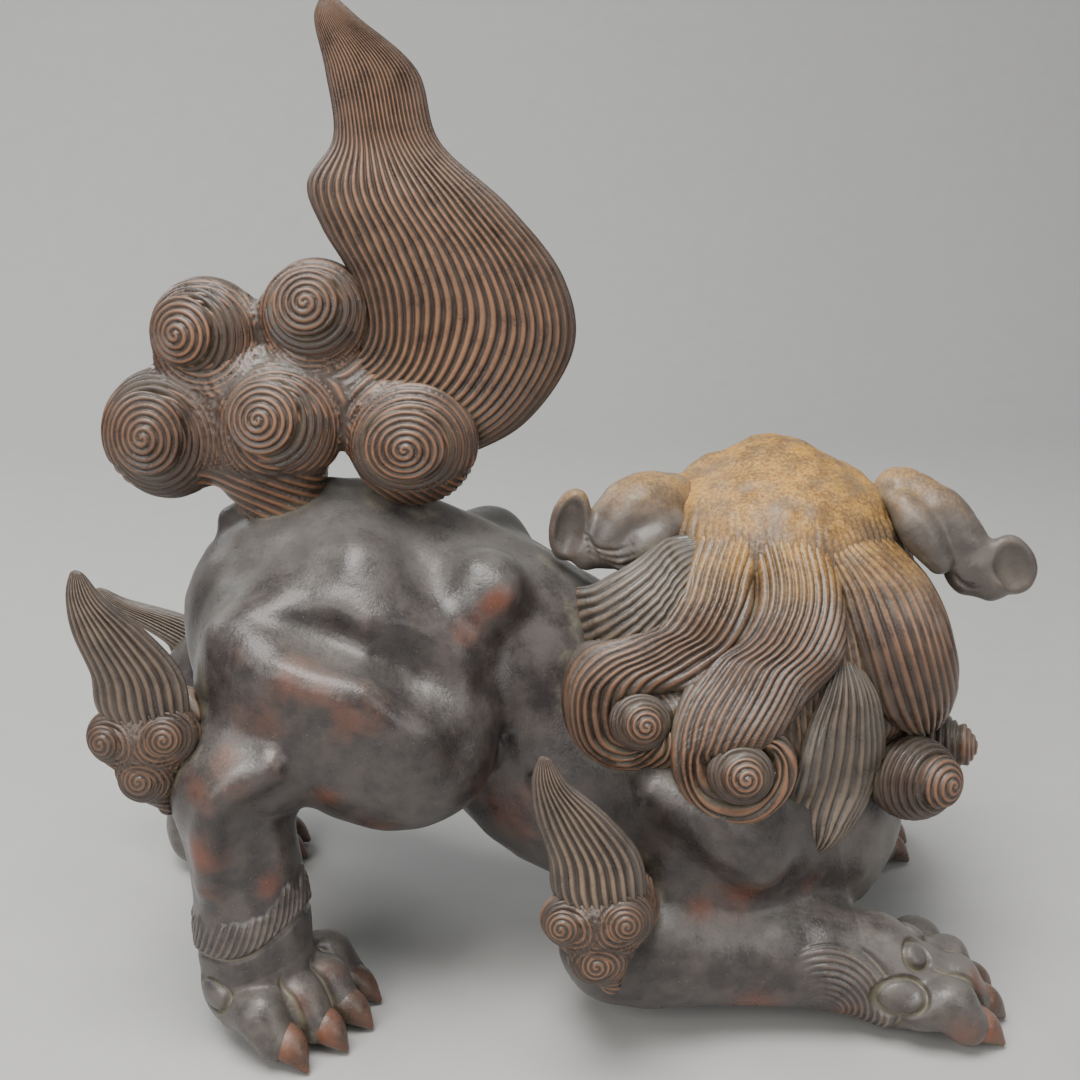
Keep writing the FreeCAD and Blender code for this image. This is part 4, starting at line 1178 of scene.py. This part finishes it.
class Mixer:
    """Short names for building a node tree."""

    def __init__(self, name):
        self.material = bpy.data.materials.new(name)
        self.material.use_nodes = True
        self.tree = self.material.node_tree
        self.shader = self.tree.nodes["Principled BSDF"]
        self.place = self.node("ShaderNodeTexCoord").outputs["Object"]

    def node(self, kind, **settings):
        made = self.tree.nodes.new(kind)
        for key, value in settings.items():
            setattr(made, key, value)
        return made

    def feed(self, socket, value):
        if isinstance(value, bpy.types.NodeSocket):
            self.tree.links.new(value, socket)
        else:
            socket.default_value = value

    def value(self, name):
        return self.node("ShaderNodeAttribute", attribute_name=name).outputs["Fac"]

    def math(self, kind, a, b=0.0, clamp=False):
        made = self.node("ShaderNodeMath", operation=kind, use_clamp=clamp)
        self.feed(made.inputs[0], a)
        self.feed(made.inputs[1], b)
        return made.outputs[0]

    def times(self, a, b, clamp=False):
        return self.math("MULTIPLY", a, b, clamp)

    def plus(self, a, b, clamp=False):
        return self.math("ADD", a, b, clamp)

    def noise(self, scale, detail=4.0, rough=0.55):
        made = self.node("ShaderNodeTexNoise")
        self.feed(made.inputs["Vector"], self.place)
        made.inputs["Scale"].default_value = scale
        made.inputs["Detail"].default_value = detail
        made.inputs["Roughness"].default_value = rough
        return made.outputs["Fac"]

    def step(self, value, low, high, to_low=0.0, to_high=1.0):
        made = self.node("ShaderNodeMapRange", interpolation_type="SMOOTHSTEP")
        self.feed(made.inputs["Value"], value)
        for key, number in (("From Min", low), ("From Max", high), ("To Min", to_low), ("To Max", to_high)):
            made.inputs[key].default_value = number
        return made.outputs["Result"]

    def mix(self, share, a, b, kind="MIX"):
        made = self.node("ShaderNodeMix", data_type="RGBA", blend_type=kind)
        self.feed(made.inputs["Factor"], share)
        self.feed(made.inputs[6], (*a, 1) if isinstance(a, tuple) else a)
        self.feed(made.inputs[7], (*b, 1) if isinstance(b, tuple) else b)
        return made.outputs[2]


def srgb(red, green, blue):
    """A linear colour from 0 to 255 screen values."""
    shares = (red / 255, green / 255, blue / 255)
    return tuple(((c + 0.055) / 1.055) ** 2.4 if c > 10 / 255 else c / 12.92 for c in shares)


CORNER_DUST = srgb(128, 122, 98)
# Pale grey for surfaces that look up: dust, and a painted sheen of the light from above.
DUST_AND_SHEEN = srgb(160, 159, 153)
OCHRE = (srgb(200, 136, 42), srgb(222, 174, 84))
GRIT = srgb(176, 166, 140)
ROUGHNESS = 0.34


def clay_material(name, skins, worn, crest, groove, shares, worn_bias=0.0, ash=None, rough=ROUGHNESS):
    """Fired clay: a dark skin, rust where hands have worn it, worn crests that also carry a painted
    highlight, pale dust in the grooves of most finishes and near-black painted shade in those of the hair,
    dust with a painted sheen on what looks up, and ash on top.

    skins are its two tones, and shares say how strongly crests and grooves are coloured. worn_bias shifts
    how much of the skin is worn. ash is (from height, to height, share), with heights in metres.
    """
    crest_wear_and_highlight_share, groove_share = shares
    m = Mixer(name)
    broad, middle, fine = m.noise(22, 3), m.noise(110, 5, 0.62), m.noise(900, 3)
    speck = m.noise(2600, 2, 0.7)
    crest_value, shut, lift = m.value("crest"), m.value("shut"), m.value("lift")
    normal = m.node("ShaderNodeSeparateXYZ")
    m.feed(normal.inputs[0], m.node("ShaderNodeTexCoord").outputs["Normal"])
    height = m.node("ShaderNodeSeparateXYZ")
    m.feed(height.inputs[0], m.place)

    colour = m.mix(m.step(middle, 0.35, 0.68), *skins)
    # Worn skin lies on what stands proud, in patches.
    proud = m.plus(m.times(lift, 0.4), m.times(broad, 0.5))
    proud = m.plus(proud, m.times(m.value("worn"), 0.8))
    proud = m.plus(proud, m.times(middle, 0.7))
    wear = m.step(m.plus(proud, worn_bias), 0.84, 1.7)
    wear = m.times(wear, m.step(shut, 0.8, 0.4, 0.3, 1.0))
    colour = m.mix(m.times(wear, 0.85), colour, worn)
    # The crests of ridges take the crest colour, with breaks: partly wear from handling, partly a painted
    # highlight on the crests.
    rubbed_and_highlit = m.step(crest_value, 0.72, 1.0)
    breaks = m.plus(middle, m.times(fine, 0.5))
    rubbed_and_highlit = m.times(rubbed_and_highlit, m.step(breaks, 0.45, 0.85, 0.25, 1.0))
    rubbed_and_highlit = m.times(rubbed_and_highlit, m.step(broad, 0.35, 0.62, 0.45, 1.0))
    colour = m.mix(m.times(rubbed_and_highlit, crest_wear_and_highlight_share, True), colour, crest)
    # Grooves take the groove colour: pale dust on most finishes, and a near-black painted shade in the
    # grooves of the hair and curls. Pale dust also lies in enclosed corners.
    low = m.step(crest_value, 0.45, 0.05)
    low = m.times(low, m.step(middle, 0.3, 0.6, 0.4, 1.0))
    colour = m.mix(m.times(low, groove_share, True), colour, groove)
    drift = m.plus(middle, m.times(broad, 0.5))
    corner = m.times(m.step(shut, 0.42, 0.72), m.step(drift, 0.6, 0.95))
    colour = m.mix(m.times(corner, 0.45), colour, CORNER_DUST)
    # Pale grey on surfaces that look up: partly dry dust, partly a painted sheen of the light from above.
    up = m.step(normal.outputs["Z"], 0.1, 0.95)
    clouds = m.plus(broad, m.times(fine, 0.35))
    dust_and_sheen = m.times(up, m.step(clouds, 0.5, 0.8, 0.15, 1.0))
    colour = m.mix(m.times(dust_and_sheen, 0.26), colour, DUST_AND_SHEEN)
    if ash:
        start, stop, share = ash
        zone = m.step(height.outputs["Z"], start, stop)
        zone = m.times(zone, m.step(normal.outputs["Z"], -0.25, 0.55))
        grain = m.step(m.plus(speck, m.times(middle, 0.6)), 0.62, 0.95, 0.55, 1.0)
        zone = m.times(m.times(zone, grain), share)
        zone = m.times(zone, m.step(crest_value, 0.2, 0.62, 0.15, 1.0))
        patches = m.plus(middle, m.times(fine, 0.6))
        zone = m.times(zone, m.step(patches, 0.66, 0.95, 0.5, 1.0))
        ochre = m.mix(m.step(fine, 0.35, 0.65), *OCHRE)
        colour = m.mix(zone, colour, ochre)
    # Specks of grit.
    grit = m.node("ShaderNodeTexVoronoi")
    m.feed(grit.inputs["Vector"], m.place)
    grit.inputs["Scale"].default_value = 420
    dots = m.step(grit.outputs["Distance"], 0.10, 0.04)
    colour = m.mix(m.times(dots, 0.35), colour, GRIT)
    m.feed(m.shader.inputs["Base Color"], colour)

    satin = m.step(middle, 0.3, 0.7, rough - 0.09, rough + 0.08)
    polish = m.plus(satin, m.times(corner, 0.3), True)
    m.feed(m.shader.inputs["Roughness"], polish)
    m.shader.inputs["Specular IOR Level"].default_value = 0.62
    bump = m.node("ShaderNodeBump")
    bump.inputs["Strength"].default_value = 0.32
    bump.inputs["Distance"].default_value = 0.0006
    relief = m.plus(m.times(fine, 0.7), m.times(speck, 0.35))
    m.feed(bump.inputs["Height"], m.plus(relief, m.times(middle, 1.4)))
    m.feed(m.shader.inputs["Normal"], bump.outputs["Normal"])
    return m.material


def make_materials():
    """The statue's finishes by name."""
    dark, brown = srgb(56, 51, 51), srgb(82, 75, 72)
    rust, orange = srgb(122, 68, 45), srgb(152, 86, 52)
    pale, dust = srgb(126, 120, 98), srgb(104, 98, 80)
    # Near black: the eyes' own dark skin, and painted shade in the grooves of the hair and curls.
    near_black_and_groove_shade = srgb(32, 27, 24)
    warm, warmer = srgb(64, 51, 44), srgb(80, 64, 54)
    warms, no_grooves, deep_grooves = (warm, warmer), (0.0, 0.0), (0.8, 0.85)
    crown_ash, ear_ash, root_ash = (0.150, 0.170, 1.0), (0.158, 0.180, 0.9), (0.134, 0.166, 0.85)
    paw_skins, ear_skins = (srgb(70, 64, 62), srgb(96, 89, 84)), (srgb(84, 77, 73), srgb(102, 92, 84))
    tuft_skins, pale_skins = (srgb(72, 63, 58), srgb(90, 78, 70)), (srgb(76, 69, 63), srgb(94, 84, 76))
    mouth_skins = (srgb(104, 52, 40), srgb(116, 62, 46))
    tooth_skins = (srgb(160, 144, 116), srgb(172, 158, 130))
    # The crest colour in each row is worn clay that also serves as a painted highlight on the crests.
    rows = (
        ("body", "body_clay", (dark, brown), rust, srgb(132, 110, 96), pale, (0.5, 0.8), -0.05),
        ("paw", "paw_clay", paw_skins, rust, srgb(140, 118, 104), pale, (0.5, 0.8), -0.05),
        ("claw", "claw_clay", warms, orange, orange, dust, no_grooves, 0.3),
        ("tuft", "tuft_clay", tuft_skins, rust, srgb(150, 126, 102), near_black_and_groove_shade, (0.75, 0.8), -0.1),
        ("tuft_curl", "tuft_curl_clay", warms, rust, srgb(154, 110, 78), near_black_and_groove_shade, deep_grooves, 0.0),
        ("head", "ash_clay", warms, rust, srgb(172, 132, 92), dust, (0.7, 0.6), -0.1, crown_ash, 0.46),
        ("ear", "ear_clay", ear_skins, orange, orange, dust, no_grooves, 0.05, ear_ash, 0.42),
        ("mouth", "mouth_clay", mouth_skins, rust, rust, dust, no_grooves),
        ("tooth", "tooth_clay", tooth_skins, pale, pale, dust, no_grooves),
        ("eye", "eye_clay", (near_black_and_groove_shade, dark), brown, brown, near_black_and_groove_shade, no_grooves, -0.2, None, 0.25),
        ("mane", "mane_clay", warms, rust, srgb(160, 114, 82), near_black_and_groove_shade, (0.8, 0.7), -0.05, root_ash),
        ("mane_pale", "mane_pale_clay", pale_skins, rust, srgb(154, 132, 110), near_black_and_groove_shade, (0.7, 0.7), -0.1),
        ("curl", "curl_clay", warms, rust, srgb(160, 112, 80), near_black_and_groove_shade, deep_grooves, -0.05),
        ("plume", "plume_clay", warms, rust, srgb(166, 118, 84), near_black_and_groove_shade, deep_grooves, -0.05),
    )
    return {key: clay_material(*rest) for key, *rest in rows}


# ---------------------------------------------------------------- stage

# The photograph's view, in the row frame and in metres.
CAMERA_PLACE = (0.004, -0.4782, 0.2962)
CAMERA_TARGET = (0.004, 0, 0.150)


def aim(thing, place, target):
    """Put a lamp or camera at a place, turned to look at the target."""
    thing.location = place
    thing.rotation_euler = (Vector(target) - thing.location).to_track_quat("-Z", "Y").to_euler()
    bpy.context.scene.collection.objects.link(thing)


def make_stage():
    """A plain pale floor that bends up behind, soft lights, and the camera at the photograph's angle."""
    floor_mesh = bpy.data.meshes.new("floor")
    wide, front, back, tall, bend = 8.0, -8.0, 1.3, 1.6, 0.5
    rows = [(front, 0.0), (back - bend, 0.0)]
    for angle in np.linspace(0.1, math.pi / 2, 14):
        rows.append((back - bend + bend * math.sin(angle), bend - bend * math.cos(angle)))
    rows.append((back, tall))
    points = [(x, y, z) for y, z in rows for x in (-wide, wide)]
    faces = [(2 * k, 2 * k + 1, 2 * k + 3, 2 * k + 2) for k in range(len(rows) - 1)]
    floor_mesh.from_pydata(points, [], faces)
    for face in floor_mesh.polygons:
        face.use_smooth = True
    floor = bpy.data.objects.new("floor", floor_mesh)
    bpy.context.scene.collection.objects.link(floor)
    paper = Mixer("floor_paper")
    grain = paper.noise(60, 4)
    paper.feed(paper.shader.inputs["Base Color"], paper.mix(grain, (0.52, 0.52, 0.51), (0.57, 0.57, 0.56)))
    paper.shader.inputs["Roughness"].default_value = 0.85
    floor_mesh.materials.append(paper.material)

    world = bpy.data.worlds.new("studio")
    world.use_nodes = True
    sky = world.node_tree.nodes["Background"]
    sky.inputs["Color"].default_value = (0.9, 0.95, 1.0, 1)
    sky.inputs["Strength"].default_value = 0.17
    bpy.context.scene.world = world
    lamps = (
        ("key", (-0.15, -0.35, 1.25), (0, -0.02, 0.1), 0.75, 19.0, (1.0, 0.98, 0.95)),
        ("fill", (1.1, -0.9, 0.6), (0, 0, 0.12), 0.8, 5.0, (1.0, 0.97, 0.93)),
        ("rim", (-0.9, 0.8, 0.9), (0, 0, 0.15), 0.7, 7.0, (0.95, 0.98, 1.0)),
        ("near", (-0.7, -1.1, 0.7), (-0.05, 0, 0.12), 0.8, 8.5, (1.0, 0.97, 0.93)),
    )
    for name, place, target, size, power, colour in lamps:
        data = bpy.data.lights.new(name, "AREA")
        data.shape, data.size, data.energy, data.color = "SQUARE", size, power, colour
        aim(bpy.data.objects.new(name, data), place, target)

    data = bpy.data.cameras.new("camera")
    data.lens, data.sensor_width, data.clip_start = 49.45, 36, 0.01
    camera = bpy.data.objects.new("camera", data)
    aim(camera, CAMERA_PLACE, CAMERA_TARGET)
    bpy.context.scene.camera = camera


MATERIALS = make_materials()
make_body()
for leg_side in SIDES:
    make_claws("hind", leg_side)
    make_claws("fore", leg_side)
    make_tuft("hock", leg_side, *HOCK_TUFTS[leg_side])
    elbow_x, elbow_y, elbow_z = FORE[leg_side]["elbow"]
    make_tuft("elbow", leg_side, (elbow_x - 12, elbow_y + 28 * SIDES[leg_side], elbow_z + 33), -12)
make_head()
make_mouth_and_eyes()
make_ears()
make_mane()
make_tail()
shade_pieces()
publish()
make_stage()
